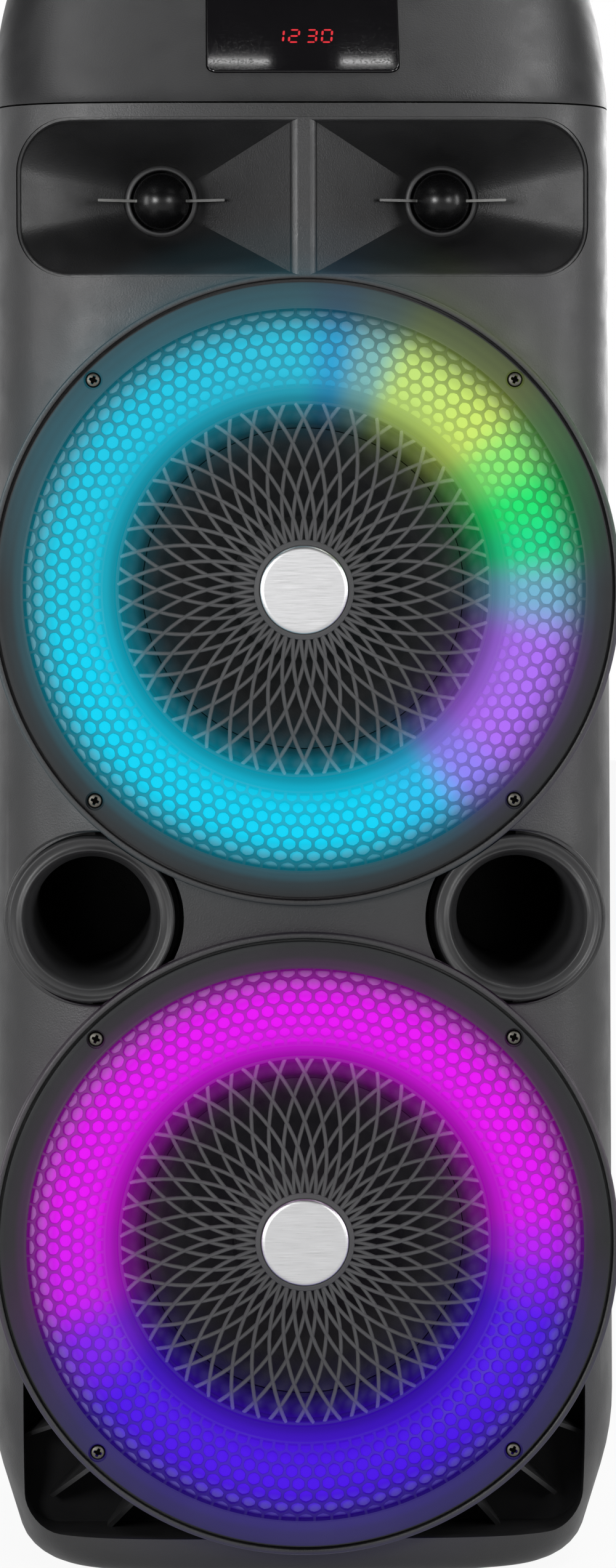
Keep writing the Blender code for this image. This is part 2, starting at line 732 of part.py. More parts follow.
# Woofer covers and drivers
def build_grille_ring(name, height):
    front = -FLANGE_PROUD
    profile = [(RING_RADIUS, 0), (RING_RADIUS - 0.001, front)]
    profile += dome_arc(0, DOME_OUTER_ANGLE, DOME_INNER_ANGLE, 3)
    profile += dome_arc(-DOME_THICK, DOME_INNER_ANGLE, DOME_OUTER_ANGLE, 3)
    profile += [(FLANGE_INNER, FLANGE_SEAT), (RING_RADIUS, FLANGE_SEAT)]
    ring = lathe(name, profile, BIG_ROUND, drum_location(height))
    for x, z in screw_places():
        place = (x, RIM_Y, height + z)
        head = cylinder("head", SCREW_HEAD + 0.0007, -0.01, front + 0.0024, place, SMALL_ROUND)
        shank = cylinder("shank", SCREW_SHANK + GAP, -0.01, 0.02, place, TINY_ROUND)
        combine(ring, "DIFFERENCE", head, shank)
    return ring


def build_light_ring(name, height):
    outer = -DOME_THICK - LIGHT_GAP
    inner = outer - LIGHT_THICK
    first = DOME_OUTER_ANGLE - math.radians(5)
    wall = FLANGE_INNER - 0.0001
    foot = MESH_SEAT + MESH_THICK + GAP
    bore = MESH_RADIUS + 0.0005
    profile = dome_arc(outer, first, DOME_INNER_ANGLE, 3)
    profile += [
        (bore, MESH_SEAT),
        (bore, foot),
        (bore - 0.004, foot),
        (bore - 0.004, foot + LIGHT_THICK),
        (bore + 0.0021, foot + LIGHT_THICK),
    ]
    profile += dome_arc(inner, DOME_INNER_ANGLE, first, 3)
    profile += [(wall - 0.002, DRIVER_SEAT - GAP), (wall, DRIVER_SEAT - GAP), (wall, FLANGE_SEAT + 0.0006)]
    return lathe(name, profile, BIG_ROUND, drum_location(height))


def build_centre_grille(name, height):
    """Crossing spiral ribs between a hub and a rim, as one thin moulding."""
    inner = MESH_RADIUS - MESH_RIM
    radii = [HUB_RADIUS + (inner - HUB_RADIUS) * row / RIB_ROWS for row in range(RIB_ROWS + 1)]
    radii.append(MESH_RADIUS)
    work = bmesh.new()
    rings = []
    for row, radius in enumerate(radii):
        shift = 0.5 * min(row, RIB_ROWS)
        along = MESH_SEAT - MESH_RISE * (1 - (radius - HUB_RADIUS) / (MESH_RADIUS - HUB_RADIUS))
        ring = []
        for step in range(RIB_COUNT):
            angle = 2 * math.pi * (step + shift) / RIB_COUNT
            ring.append(work.verts.new((radius * math.cos(angle), along, radius * math.sin(angle))))
        rings.append(ring)
    cells = []
    for row in range(RIB_ROWS):
        for step in range(RIB_COUNT):
            low = (rings[row][step], rings[row][(step + 1) % RIB_COUNT])
            high = rings[row + 1][step]
            if row == 0:
                cells.append(work.faces.new((low[0], low[1], high)))
            else:
                below = rings[row - 1][(step + 1) % RIB_COUNT]
                cells.append(work.faces.new((low[0], below, low[1], high)))
    for step in range(RIB_COUNT):
        last = rings[RIB_ROWS]
        below = rings[RIB_ROWS - 1][(step + 1) % RIB_COUNT]
        cells.append(work.faces.new((last[step], below, last[(step + 1) % RIB_COUNT])))
    bmesh.ops.recalc_face_normals(work, faces=work.faces)
    bmesh.ops.inset_individual(work, faces=cells, thickness=RIB_HALF, use_even_offset=True)
    bmesh.ops.delete(work, geom=cells, context="FACES_ONLY")
    work.faces.new(rings[0])
    for step in range(RIB_COUNT):
        after = (step + 1) % RIB_COUNT
        low = rings[RIB_ROWS]
        high = rings[RIB_ROWS + 1]
        work.faces.new((low[step], low[after], high[after], high[step]))
    bmesh.ops.recalc_face_normals(work, faces=work.faces)
    mesh = bpy.data.meshes.new(name)
    work.to_mesh(mesh)
    work.free()
    obj = bpy.data.objects.new(name, mesh)
    bpy.context.scene.collection.objects.link(obj)
    obj.location = drum_location(height)
    # The ribs grow backwards from their front face
    facing = 1 if mesh.polygons[len(mesh.polygons) - 1].normal.y < 0 else -1
    thicken = obj.modifiers.new("Thickness", "SOLIDIFY")
    thicken.thickness = MESH_THICK
    thicken.offset = -facing
    bake(obj)
    return obj


def build_badge(name, height):
    seat = MESH_SEAT - MESH_RISE - GAP
    profile = [
        (0, seat - 0.0018),
        (BADGE_RADIUS - 0.001, seat - 0.0018),
        (BADGE_RADIUS, seat - 0.001),
        (BADGE_RADIUS, seat),
        (0, seat),
    ]
    return lathe(name, profile, MIDDLE_ROUND, drum_location(height))


def build_led_board(name, height):
    seat = DRIVER_SEAT - GAP
    front = seat - LED_THICK
    profile = [(LED_INNER, front), (LED_OUTER, front), (LED_OUTER, seat), (LED_INNER, seat)]
    return lathe(name, profile, MIDDLE_ROUND, drum_location(height))


def build_screw(name, x, height):
    profile = [
        (0, -0.0006),
        (SCREW_HEAD - 0.001, -0.0006),
        (SCREW_HEAD, 0.0002),
        (SCREW_HEAD, 0.0011),
        (SCREW_SHANK, 0.0011),
        (SCREW_SHANK, SCREW_LENGTH - 0.0015),
        (0, SCREW_LENGTH),
    ]
    return lathe(name, profile, TINY_ROUND, (x, RIM_Y, height))


def build_basket(name, height):
    back = DRIVER_SEAT - GAP
    front = back - DRIVER_FLANGE_THICK
    can = MAGNET_RADIUS
    neck = DRIVER_CUTOUT - 0.0007
    bend = DRIVER_SEAT + BASKET_NECK
    rim = BASKET_BACK - BASKET_CAN
    profile = [
        (DRIVER_FLANGE, front),
        (DRIVER_FLANGE, back),
        (neck, back),
        (neck - 0.0013, bend),
        (can, rim),
        (can, BASKET_BACK),
        (can - 0.014, BASKET_BACK),
        (can - 0.014, BASKET_BACK - 0.0016),
        (can - BASKET_SHEET, BASKET_BACK - 0.0016),
        (can - BASKET_SHEET, rim + 0.0006),
        (neck - BASKET_SHEET - 0.0015, bend + 0.0002),
        (neck - BASKET_SHEET - 0.0005, front),
    ]
    return lathe(name, profile, MIDDLE_ROUND, drum_location(height))


def build_motor(name, height):
    pole = COIL_RADIUS - 0.0017
    front = BASKET_BACK + GAP
    magnet = front + MOTOR_PLATE
    yoke = magnet + MAGNET_HEIGHT
    plate = MAGNET_RADIUS - 0.010
    profile = [
        (0, front + 0.0017),
        (pole, front + 0.0017),
        (pole, yoke),
        (COIL_RADIUS + 0.010, yoke),
        (COIL_RADIUS + 0.010, magnet),
        (COIL_RADIUS + 0.0012, magnet),
        (COIL_RADIUS + 0.0012, front),
        (plate, front),
        (plate, magnet),
        (MAGNET_RADIUS, magnet),
        (MAGNET_RADIUS, yoke),
        (plate, yoke),
        (plate, yoke + MOTOR_PLATE),
        (0, yoke + MOTOR_PLATE),
    ]
    return lathe(name, profile, MIDDLE_ROUND, drum_location(height))


def build_cone(name, height):
    """Cone, dust cap and coil former, bonded as one moving piece."""
    edge = DRIVER_SEAT - 0.004
    slope = 0.5955
    cap_edge = DUST_CAP_RADIUS
    coil_end = BASKET_BACK + COIL_REACH
    cap_level_d = edge + (CONE_RADIUS - cap_edge) * slope
    neck = edge + (CONE_RADIUS - COIL_RADIUS) * slope + 0.0014
    inner = COIL_RADIUS - 0.0008
    profile = [
        (0, cap_level_d - DUST_CAP_RISE),
        (cap_edge * 0.55, cap_level_d - DUST_CAP_RISE + 0.0025),
        (cap_edge, cap_level_d),
        (CONE_RADIUS, edge),
        (CONE_RADIUS, edge + 0.0014),
        (COIL_RADIUS, neck),
        (COIL_RADIUS, coil_end),
        (inner, coil_end),
        (inner, neck - 0.0006),
        (cap_edge - 0.001, cap_level_d + 0.0012),
        (cap_edge * 0.53, cap_level_d - DUST_CAP_RISE + 0.004),
        (0, cap_level_d - DUST_CAP_RISE + 0.0015),
    ]
    return lathe(name, profile, MIDDLE_ROUND, drum_location(height))


def build_surround(name, height):
    flange = DRIVER_SEAT - GAP - DRIVER_FLANGE_THICK - GAP
    inner = CONE_RADIUS + 0.0004
    outer = DRIVER_CUTOUT - 0.001
    middle = (inner + outer) / 2 + 0.001
    profile = [
        (inner, flange - 0.0004),
        (inner + 0.002, flange - 0.001),
        (middle - 0.004, flange - 0.0055),
        (middle, flange - 0.0075),
        (middle + 0.004, flange - 0.0055),
        (outer, flange - 0.0011),
        (DRIVER_FLANGE - 0.0025, flange - 0.0011),
        (DRIVER_FLANGE - 0.0025, flange),
        (outer - 0.0008, flange),
        (middle + 0.0034, flange - 0.0045),
        (middle, flange - 0.0064),
        (middle - 0.0034, flange - 0.0045),
        (inner + 0.0026, flange),
        (inner, flange + 0.0006),
    ]
    return lathe(name, profile, MIDDLE_ROUND, drum_location(height))


def build_spider(name, height):
    inner = COIL_RADIUS + 0.0004
    outer = inner + SPIDER_WIDTH
    fold = (outer - inner) / 4
    level = BASKET_BACK - SPIDER_SETBACK
    crest = level - SPIDER_FOLD
    front = [(inner, level), (inner + fold, crest), (inner + 2 * fold, level + 0.0012), (inner + 3 * fold, crest)]
    front.append((outer, level))
    profile = front + [(radius, along + SPIDER_THICK) for radius, along in reversed(front)]
    return lathe(name, profile, MIDDLE_ROUND, drum_location(height))


# Horn
def horn_ring(side, grow, throat):
    """Points round one horn's mouth, or round its throat where they answer to those of the mouth."""
    inner = RIDGE_HALF - grow
    outer = HORN_HALF_WIDTH - HORN_LIP + grow
    half = HORN_HALF_HEIGHT - HORN_LIP + grow
    radius = HORN_CORNER - HORN_LIP + grow
    points = [(inner, -half), ((inner + THROAT_OFFSET) / 2, -half), (THROAT_OFFSET, -half)]
    for quarter in (3, 4):
        for step in range(4):
            angle = math.pi / 2 * (quarter + step / 3)
            end = -1 if quarter == 3 else 1
            x = outer - radius + radius * math.cos(angle)
            points.append((x, end * (half - radius) + radius * math.sin(angle)))
    points += [(THROAT_OFFSET, half), ((inner + THROAT_OFFSET) / 2, half), (inner, half)]
    points += [(inner, half * 0.45), (inner, -half * 0.45)]
    if throat:
        answers = []
        for x, z in points:
            angle = math.atan2(z, x - THROAT_OFFSET)
            reach = THROAT_RADIUS + grow
            answers.append((THROAT_OFFSET + reach * math.cos(angle), reach * math.sin(angle)))
        points = answers
    return [(side * x, HORN_HEIGHT + z) for x, z in points]


def horn_space(name, side, grow, behind):
    """One horn from a plane in front of its mouth to behind its throat, grown by a wall thickness."""
    mouth = horn_ring(side, grow, False)
    throat = horn_ring(side, grow, True)
    start = FRONT_Y + THROAT_DEPTH
    rings = [[(x, FRONT_Y - 0.02, z) for x, z in mouth]]
    rings.append([(x, skin_y(x, HORN_HEIGHT) + WALL * 0.3, z) for x, z in mouth])
    rings.append([(x, start, z) for x, z in throat])
    rings.append([(x, start + behind, z) for x, z in throat])
    return loft(name, rings, split=True)


def horn_skin(inset):
    """The cabinet's outline round the horn, a little inside its face."""
    return body("skin", inset, 0.5, SEAM_HEIGHT + 0.02)


def build_horn():
    outline = rounded(HORN_HALF_WIDTH - GAP, HORN_HALF_HEIGHT - GAP, HORN_CORNER - GAP)
    panel = prism("horn_waveguide", [(x, z + HORN_HEIGHT) for x, z in outline], FRONT_Y - 0.05, FRONT_Y + 0.06)
    combine(panel, "INTERSECT", horn_skin(0.0004))
    combine(panel, "DIFFERENCE", body("hollow", WALL, 0.45, SEAM_HEIGHT + 0.05))
    for side in (-1, 1):
        funnel = horn_space("funnel", side, HORN_WALL, THROAT_LENGTH)
        combine(panel, "UNION", combine(funnel, "INTERSECT", horn_skin(WALL / 2)))
    for side in (-1, 1):
        combine(panel, "DIFFERENCE", horn_space("space", side, 0, THROAT_LENGTH + 0.01))
    return panel


def build_phase_plug(name, side):
    """A ball in the throat with a level vane through it."""
    centre = FRONT_Y + THROAT_DEPTH - 0.002
    profile = [(0, -PLUG_RADIUS)]
    for step in range(1, 8):
        angle = math.pi * step / 8
        profile.append((PLUG_RADIUS * math.sin(angle), -PLUG_RADIUS * math.cos(angle)))
    profile.append((0, PLUG_RADIUS))
    ball = lathe(name, profile, SMALL_ROUND, (side * THROAT_OFFSET, centre, HORN_HEIGHT))
    vane = [(VANE_HALF, -0.019), (VANE_HALF - 0.002, -0.016), (THROAT_RADIUS, -0.005)]
    outline = vane + [(-x, y) for x, y in reversed(vane)]
    rings = []
    for z in (-VANE_THICK / 2, VANE_THICK / 2):
        rings.append([(side * THROAT_OFFSET + x, centre + y, HORN_HEIGHT + z) for x, y in outline])
    return combine(ball, "UNION", loft("vane", rings))


def build_tweeter(name, side):
    start = FRONT_Y + THROAT_DEPTH + THROAT_LENGTH + GAP
    profile = [
        (0, 0),
        (TWEETER_FRONT, 0),
        (TWEETER_FRONT, 0.006),
        (TWEETER_RADIUS, 0.006),
        (TWEETER_RADIUS, TWEETER_DEPTH - 0.010),
        (TWEETER_RADIUS - 0.009, TWEETER_DEPTH - 0.010),
        (TWEETER_RADIUS - 0.011, TWEETER_DEPTH),
        (0, TWEETER_DEPTH),
    ]
    return lathe(name, profile, SMALL_ROUND, (side * THROAT_OFFSET, start, HORN_HEIGHT))


# Bass ports
def build_port(name, side):
    tube = PORT_BORE + 0.003
    body_radius = PORT_LIP - 0.0048
    profile = [
        (PORT_LIP, 0.0016),
        (PORT_LIP - 0.0012, 0.0003),
        (PORT_LIP - 0.0035, 0),
        (PORT_MOUTH, 0.0012),
        (PORT_MOUTH - 0.004, 0.006),
        (PORT_BORE + 0.002, 0.016),
        (PORT_BORE, 0.030),
        (PORT_BORE, PORT_LENGTH),
        (tube, PORT_LENGTH),
        (tube, 0.032),
        (body_radius, 0.012),
        (body_radius, 0.0043),
        (PORT_LIP, 0.0043),
    ]
    place = (side * PORT_OFFSET, FRONT_Y - PORT_PROUD, PORT_HEIGHT)
    port = lathe(name, profile, PORT_ROUND, place)
    for height in (LOWER_WOOFER_HEIGHT, UPPER_WOOFER_HEIGHT):
        clear = cylinder("clear", DRUM_RADIUS + 2 * GAP, -0.05, 0.2, drum_location(height), BIG_ROUND)
        combine(port, "DIFFERENCE", clear)
    return port


# Back, wheels, handle and what is inside
def build_rear_plate():
    half_x = PLATE_WIDTH / 2
    half_z = PLATE_HEIGHT / 2
    back = BACK_Y - GAP
    front = back - PLATE_THICK
    plate = box("rear_plate", (-half_x, front, PLATE_LEVEL - half_z), (half_x, back, PLATE_LEVEL + half_z))
    inlet = prism("inlet", [(x - 0.025, z + PLATE_LEVEL) for x, z in rounded(0.0115, 0.0065, 0.003, 2)], 0, 0.3)
    rocker = box("rocker", (0.0135, 0, PLATE_LEVEL - 0.0105), (0.0265, 0.3, PLATE_LEVEL + 0.0105))
    return combine(plate, "DIFFERENCE", inlet, rocker)


def build_power_inlet():
    back = BACK_Y - GAP
    outline = [(x - 0.025, z + PLATE_LEVEL) for x, z in rounded(0.0111, 0.0061, 0.003, 2)]
    inlet = prism("power_inlet", outline, back - 0.020, back - 0.0004)
    socket = [(x - 0.025, z + PLATE_LEVEL) for x, z in rounded(0.0089, 0.0040, 0.002, 2)]
    return combine(inlet, "DIFFERENCE", prism("socket", socket, back - 0.013, back + 0.02))


def build_power_rocker():
    outline = [(-0.009, -0.0005), (-0.009, 0.0020), (0, 0.0006), (0.009, 0.0020), (0.009, -0.0005), (0, -0.007)]
    rings = [[(x, y, z) for z, y in outline] for x in (-0.0061, 0.0061)]
    rocker = loft("power_rocker", rings)
    rocker.location = (0.020, BACK_Y - PLATE_THICK, PLATE_LEVEL)
    rocker.rotation_euler = (math.radians(-7), 0, 0)
    return rocker


def build_main_board():
    back = BACK_Y - BOARD_SETBACK
    front = back - BOARD_THICK
    half = BOARD_WIDTH / 2
    low = PLATE_LEVEL - BOARD_HEIGHT / 2
    high = PLATE_LEVEL + BOARD_HEIGHT / 2
    board = box("main_board", (-half, front, low), (half, back, high))
    sink = box("sink", (0.010 - half, front - 0.0194, high - 0.048), (half - 0.030, back - 0.001, high - 0.010))
    choke = box("choke", (0.015 - half, front - 0.0204, low + 0.012), (0.045 - half, back - 0.001, low + 0.042))
    store = box("store", (half - 0.050, front - 0.0284, low + 0.015), (half - 0.028, back - 0.001, low + 0.037))
    return combine(board, "UNION", sink, choke, store)


def build_battery():
    floor = FOOT_HEIGHT + WALL + GAP
    half = BATTERY_WIDTH / 2
    back = BACK_Y - BATTERY_SETBACK
    return box("battery_pack", (-half, back - BATTERY_DEPTH, floor), (half, back, floor + BATTERY_HEIGHT))


def build_foot(name, half, near, far):
    rings = []
    for z, inset in ((0, 0.001), (0.001, 0), (FOOT_HEIGHT - GAP, 0)):
        outline = rounded(half - inset, (far - near) / 2 - inset, 0.006, 3)
        rings.append([(x, y + (near + far) / 2, z) for x, y in outline])
    return loft(name, rings)


def build_wheel(name, side):
    half = WHEEL_WIDTH / 2
    bore = AXLE_RADIUS + GAP
    profile = [
        (bore, -half),
        (WHEEL_RADIUS - 0.002, -half),
        (WHEEL_RADIUS, -half + 0.003),
        (WHEEL_RADIUS, half - 0.003),
        (WHEEL_RADIUS - 0.002, half),
        (WHEEL_RADIUS - 0.008, half),
        (WHEEL_RADIUS - 0.010, half - 0.004),
        (0.014, half - 0.004),
        (0.012, half),
        (bore, half),
    ]
    place = (side * WHEEL_OFFSET, WHEEL_Y, WHEEL_Z)
    return lathe(name, profile, MIDDLE_ROUND, place, (0, 0, -side * math.pi / 2))


def build_axle():
    half = WHEEL_OFFSET + WHEEL_WIDTH / 2 + 0.0008
    profile = [
        (0, -half - 0.002),
        (0.0062, -half - 0.002),
        (0.0062, -half),
        (AXLE_RADIUS, -half),
        (AXLE_RADIUS, half),
        (0.0062, half),
        (0.0062, half + 0.002),
        (0, half + 0.002),
    ]
    return lathe("wheel_axle", profile, SMALL_ROUND, (0, WHEEL_Y, WHEEL_Z), (0, 0, -math.pi / 2))


def build_trolley_guide():
    top = grip_floor() - WALL - 2 * GAP
    half = LEG_OFFSET + GUIDE_MARGIN
    half_y = GUIDE_DEPTH / 2
    guide = box("trolley_guide", (-half, GRIP_Y - half_y, top - GUIDE_HEIGHT), (half, GRIP_Y + half_y, top))
    for side in (-1, 1):
        place = (side * LEG_OFFSET, GRIP_Y, 0)
        hole = cylinder("hole", LEG_RADIUS + 1.5 * GAP, 0.5, 1, place, SMALL_ROUND, (math.pi / 2, 0, 0))
        combine(guide, "DIFFERENCE", hole)
    return guide


def leg_top():
    return deck_at(GRIP_Y) - LEG_TUCK


def build_trolley_frame():
    """Two tubes joined by a bridge at their lower ends."""
    half = LEG_OFFSET + LEG_RADIUS + 0.002
    half_y = BRIDGE_DEPTH / 2
    frame = box("trolley_frame", (-half, -half_y, 0), (half, half_y, BRIDGE_HEIGHT))
    for side in (-1, 1):
        place = (side * LEG_OFFSET, 0, 0)
        leg = cylinder("leg", LEG_RADIUS, 0.004, leg_top() - LEG_BOTTOM, place, SMALL_ROUND, (math.pi / 2, 0, 0))
        combine(frame, "UNION", leg)
    frame.location = (0, GRIP_Y, LEG_BOTTOM)
    return frame


def build_trolley_grip():
    top = deck_at(GRIP_Y) - 0.001
    half_y = GRIP_DEPTH / 2
    rings = []
    for z, inset in ((-GRIP_HEIGHT, 0.002), (0.002 - GRIP_HEIGHT, 0), (-0.005, 0), (-0.0015, 0.0015), (0, 0.005)):
        outline = rounded(GRIP_LENGTH / 2 - inset, half_y - inset, half_y * 0.4, 3)
        rings.append([(x, y, z) for x, y in outline])
    grip = loft("trolley_grip", rings)
    grip.location = (0, GRIP_Y, top)
    for side in (-1, 1):
        place = (side * LEG_OFFSET, GRIP_Y, 0)
        socket = cylinder("socket", LEG_RADIUS + GAP, 0.5, leg_top() + GAP, place, SMALL_ROUND, (math.pi / 2, 0, 0))
        combine(grip, "DIFFERENCE", socket)
    return grip


def main():
    for obj in list(bpy.data.objects):
        bpy.data.objects.remove(obj)
    shell = surface("case_plastic", (0.045, 0.047, 0.05), 0.6)
    trim = surface("trim_plastic", (0.03, 0.031, 0.033), 0.5)
    gloss = surface("gloss_black", (0.006, 0.006, 0.007), 0.08)
    lens = surface("light_diffuser", (0.55, 0.8, 0.85), 0.4)
    rubber = surface("rubber", (0.02, 0.02, 0.02), 0.85)
    paper = surface("cone_paper", (0.03, 0.03, 0.032), 0.75)
    fabric = surface("spider_cloth", (0.45, 0.32, 0.12), 0.9)
    steel = surface("steel", (0.55, 0.55, 0.56), 0.35, 1.0)
    brass = surface("screw_steel", (0.62, 0.57, 0.48), 0.3, 1.0)
    badge = surface("brushed_aluminium", (0.75, 0.75, 0.76), 0.32, 1.0)
    ferrite = surface("ferrite", (0.06, 0.06, 0.065), 0.55)
    board = surface("circuit_board", (0.02, 0.16, 0.06), 0.5)
    cell = surface("battery_wrap", (0.03, 0.09, 0.28), 0.45)

    finish(build_front_baffle(), shell)
    finish(build_rear_shell(), shell)
    finish(build_top_cap(), shell)
    finish(build_control_panel(), trim)
    finish(build_display_window(), gloss)
    finish(build_control_board(), board)
    finish(build_knob(), trim)
    for name, across, along in button_places():
        finish(build_button(name, across, along), trim)
    finish(build_horn(), trim)
    for word, side in (("left", -1), ("right", 1)):
        finish(build_phase_plug(f"phase_plug_{word}", side), trim)
        finish(build_tweeter(f"tweeter_{word}", side), ferrite)
        finish(build_port(f"bass_port_{word}", side), trim)
        finish(build_wheel(f"wheel_{word}", side), rubber)
    for word, height in (("upper", UPPER_WOOFER_HEIGHT), ("lower", LOWER_WOOFER_HEIGHT)):
        finish(build_grille_ring(f"{word}_grille_ring", height), trim)
        finish(build_light_ring(f"{word}_light_ring", height), lens)
        finish(build_centre_grille(f"{word}_centre_grille", height), trim)
        finish(build_badge(f"{word}_badge", height), badge)
        finish(build_led_board(f"{word}_led_board", height), board)
        finish(build_basket(f"{word}_basket", height), steel)
        finish(build_motor(f"{word}_motor", height), ferrite)
        finish(build_cone(f"{word}_cone", height), paper)
        finish(build_surround(f"{word}_surround", height), rubber)
        finish(build_spider(f"{word}_spider", height), fabric)
        for number, (x, z) in enumerate(screw_places(), 1):
            finish(build_screw(f"{word}_screw_{number}", x, height + z), brass)
    finish(build_axle(), steel)
    near = FRONT_Y + FOOT_FRONT_SETBACK
    finish(build_foot("foot_front", BASE_WIDTH / 2 - FOOT_FRONT_INSET, near, near + FOOT_WIDTH), rubber)
    far = BACK_Y - FOOT_REAR_SETBACK
    finish(build_foot("foot_rear", BASE_WIDTH / 2 - FOOT_REAR_INSET, far - FOOT_WIDTH, far), rubber)
    finish(build_trolley_guide(), trim)
    finish(build_trolley_frame(), steel)
    finish(build_trolley_grip(), trim)
    finish(build_rear_plate(), trim)
    finish(build_power_inlet(), gloss)
    finish(build_power_rocker(), gloss)
    finish(build_main_board(), board)
    finish(build_battery(), cell)


main()
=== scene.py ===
"""Looks of a two-woofer party speaker on its packed model, as an add-on that also runs as a script."""

from math import atan, atan2, copysign, cos, hypot, pi, radians, sin, sqrt, tan
from types import SimpleNamespace

import bmesh
import bpy
from mathutils import Euler, Matrix, Vector


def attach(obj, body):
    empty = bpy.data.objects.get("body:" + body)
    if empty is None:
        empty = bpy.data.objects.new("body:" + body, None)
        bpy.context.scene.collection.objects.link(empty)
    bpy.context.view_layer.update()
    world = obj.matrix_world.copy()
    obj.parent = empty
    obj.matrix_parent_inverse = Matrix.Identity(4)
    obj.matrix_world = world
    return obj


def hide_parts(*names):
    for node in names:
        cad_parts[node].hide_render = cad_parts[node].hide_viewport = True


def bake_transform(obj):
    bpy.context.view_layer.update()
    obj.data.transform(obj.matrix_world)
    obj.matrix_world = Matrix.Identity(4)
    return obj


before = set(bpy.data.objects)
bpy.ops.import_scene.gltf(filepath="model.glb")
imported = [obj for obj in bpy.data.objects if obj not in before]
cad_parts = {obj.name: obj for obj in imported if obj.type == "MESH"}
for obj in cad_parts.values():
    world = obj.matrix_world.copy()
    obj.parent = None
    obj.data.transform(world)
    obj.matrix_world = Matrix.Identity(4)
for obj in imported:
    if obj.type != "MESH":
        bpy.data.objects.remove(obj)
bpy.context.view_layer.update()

bl_info = {
    "name": "Party Speaker",
    "version": (1, 0, 0),
    "blender": (4, 5, 0),
    "location": "View3D > Sidebar > Speaker",
    "description": "Builds the dressed pieces of a two-woofer party speaker on its packed model",
    "category": "Object",
}

# Fineness of round shapes, the gap between pieces, the turn that stands a round bar up, the two sides,
# and the buttons with their places in steps of the pitch
SECTION_POINTS = 192
BIG_ROUND = 192
MIDDLE_ROUND = 96
SMALL_ROUND = 40
GAP = 0.0003
STANDING = (pi / 2, 0, 0)
SIDES = (("left", -1), ("right", 1))
BUTTONS = {"mode": -2.5, "play": -1.5, "light": 1.5, "echo": 2.5}

# Sockets of the Mix node that hold colours
COLOUR_A, COLOUR_B, COLOUR_RESULT = 6, 7, 2


# Sizes and colours that a user may change
def length(name, default, description):
    """A length in metres."""
    return bpy.props.FloatProperty(
        name=name, description=description, default=default, min=0, precision=5, unit="LENGTH"
    )


def turn(name, degrees, description):
    """An angle, given here in degrees."""
    return bpy.props.FloatProperty(
        name=name, description=description, default=radians(degrees), subtype="ANGLE"
    )


def number(name, default, description):
    """How many of something there are."""
    return bpy.props.IntProperty(name=name, description=description, default=default, min=1)


def share(name, default, description):
    """A plain ratio."""
    return bpy.props.FloatProperty(name=name, description=description, default=default, min=0)


def tint(name, colour, description):
    """A colour, given here as it looks on a screen, from 0 to 255."""
    return bpy.props.FloatVectorProperty(
        name=name, description=description, default=linear(*colour), size=3, min=0, max=1, subtype="COLOR"
    )


def linear(red, green, blue):
    """A screen colour from 0 to 255 as the linear light that shaders use."""
    channels = []
    for value in (red, green, blue):
        value /= 255
        channels.append(value / 12.92 if value <= 0.04045 else ((value + 0.055) / 1.055) ** 2.4)
    return tuple(channels)


class SpeakerCabinet(bpy.types.PropertyGroup):
    """Sizes of the cabinet, its top and the controls."""

    base_width: length("Base width", 0.316, "Width of the cabinet over its drawn-in base")
    top_width: length("Top width", 0.306, "Width of the cabinet at the seam under its top")
    cabinet_depth: length("Depth", 0.2865, "From the foremost point to the back")
    corner_power: share("Corner power", 5, "How square the cabinet's outline is from above")
    wall: length("Wall", 0.0035, "Thickness of the mouldings")
    foot_height: length("Foot height", 0.004, "Gap between the floor and the cabinet")
    base_taper: length("Base taper", 0.019, "How far the base draws in")
    cap_height: length("Top height", 0.125, "Full height of the top's form over the seam")
    cap_lean: share("Top lean", 0.9, "How far the top's front leans back for its height")
    deck_tilt: turn("Deck tilt", 6, "Slope of the control deck")
    panel_width: length("Panel width", 0.18, "Width of the control panel")
    window_width: length("Window width", 0.0934, "Width of the display window")
    window_height: length("Window height", 0.059, "Height of the display window")
    knob_radius: length("Knob radius", 0.019, "Radius of the volume knob")
    button_radius: length("Button radius", 0.0065, "Radius of the push buttons")
    knob_ridges: number("Knob ridges", 44, "Ridges round the volume knob")


class SpeakerWoofer(bpy.types.PropertyGroup):
    """Sizes of the woofer covers and drivers."""

    base_border: length("Base border", 0.016, "From the base to the lower ring")
    woofer_gap: length("Woofer gap", 0.02, "Between the two rings")
    ring_radius: length("Ring radius", 0.15, "Outer radius of a woofer cover")
    cell_columns: number("Cells", 100, "Perforations in a row")
    cell_rows: number("Rows", 7, "Rows of perforations")
    web: length("Web", 0.0015, "Material between two perforations")
    rib_count: number("Ribs", 42, "Spiral ribs each way")
    rib_width: length("Rib width", 0.0019, "Width of a spiral rib")
    rib_sweep: turn("Rib sweep", 24, "How far a rib turns from the hub to the rim")
    badge_radius: length("Badge radius", 0.0215, "Radius of the metal disc")
    screw_head: length("Screw head", 0.00375, "Radius of a screw's head")


class SpeakerFront(bpy.types.PropertyGroup):
    """Sizes of the horns, the ports and the lower corner pockets."""

    horn_side: length("Horn side", 0.0135, "From the horn's opening to the cabinet's side")
    horn_half_height: length("Horn half height", 0.0385, "Half the height of the horn's opening")
    throat_radius: length("Throat radius", 0.0168, "Radius of a horn's throat")
    plug_radius: length("Plug radius", 0.0142, "Radius of the ball in a throat")
    port_lip: length("Port lip", 0.0408, "Outer radius of a bass port")
    pocket_depth: length("Pocket depth", 0.05, "Depth of the corner pockets")


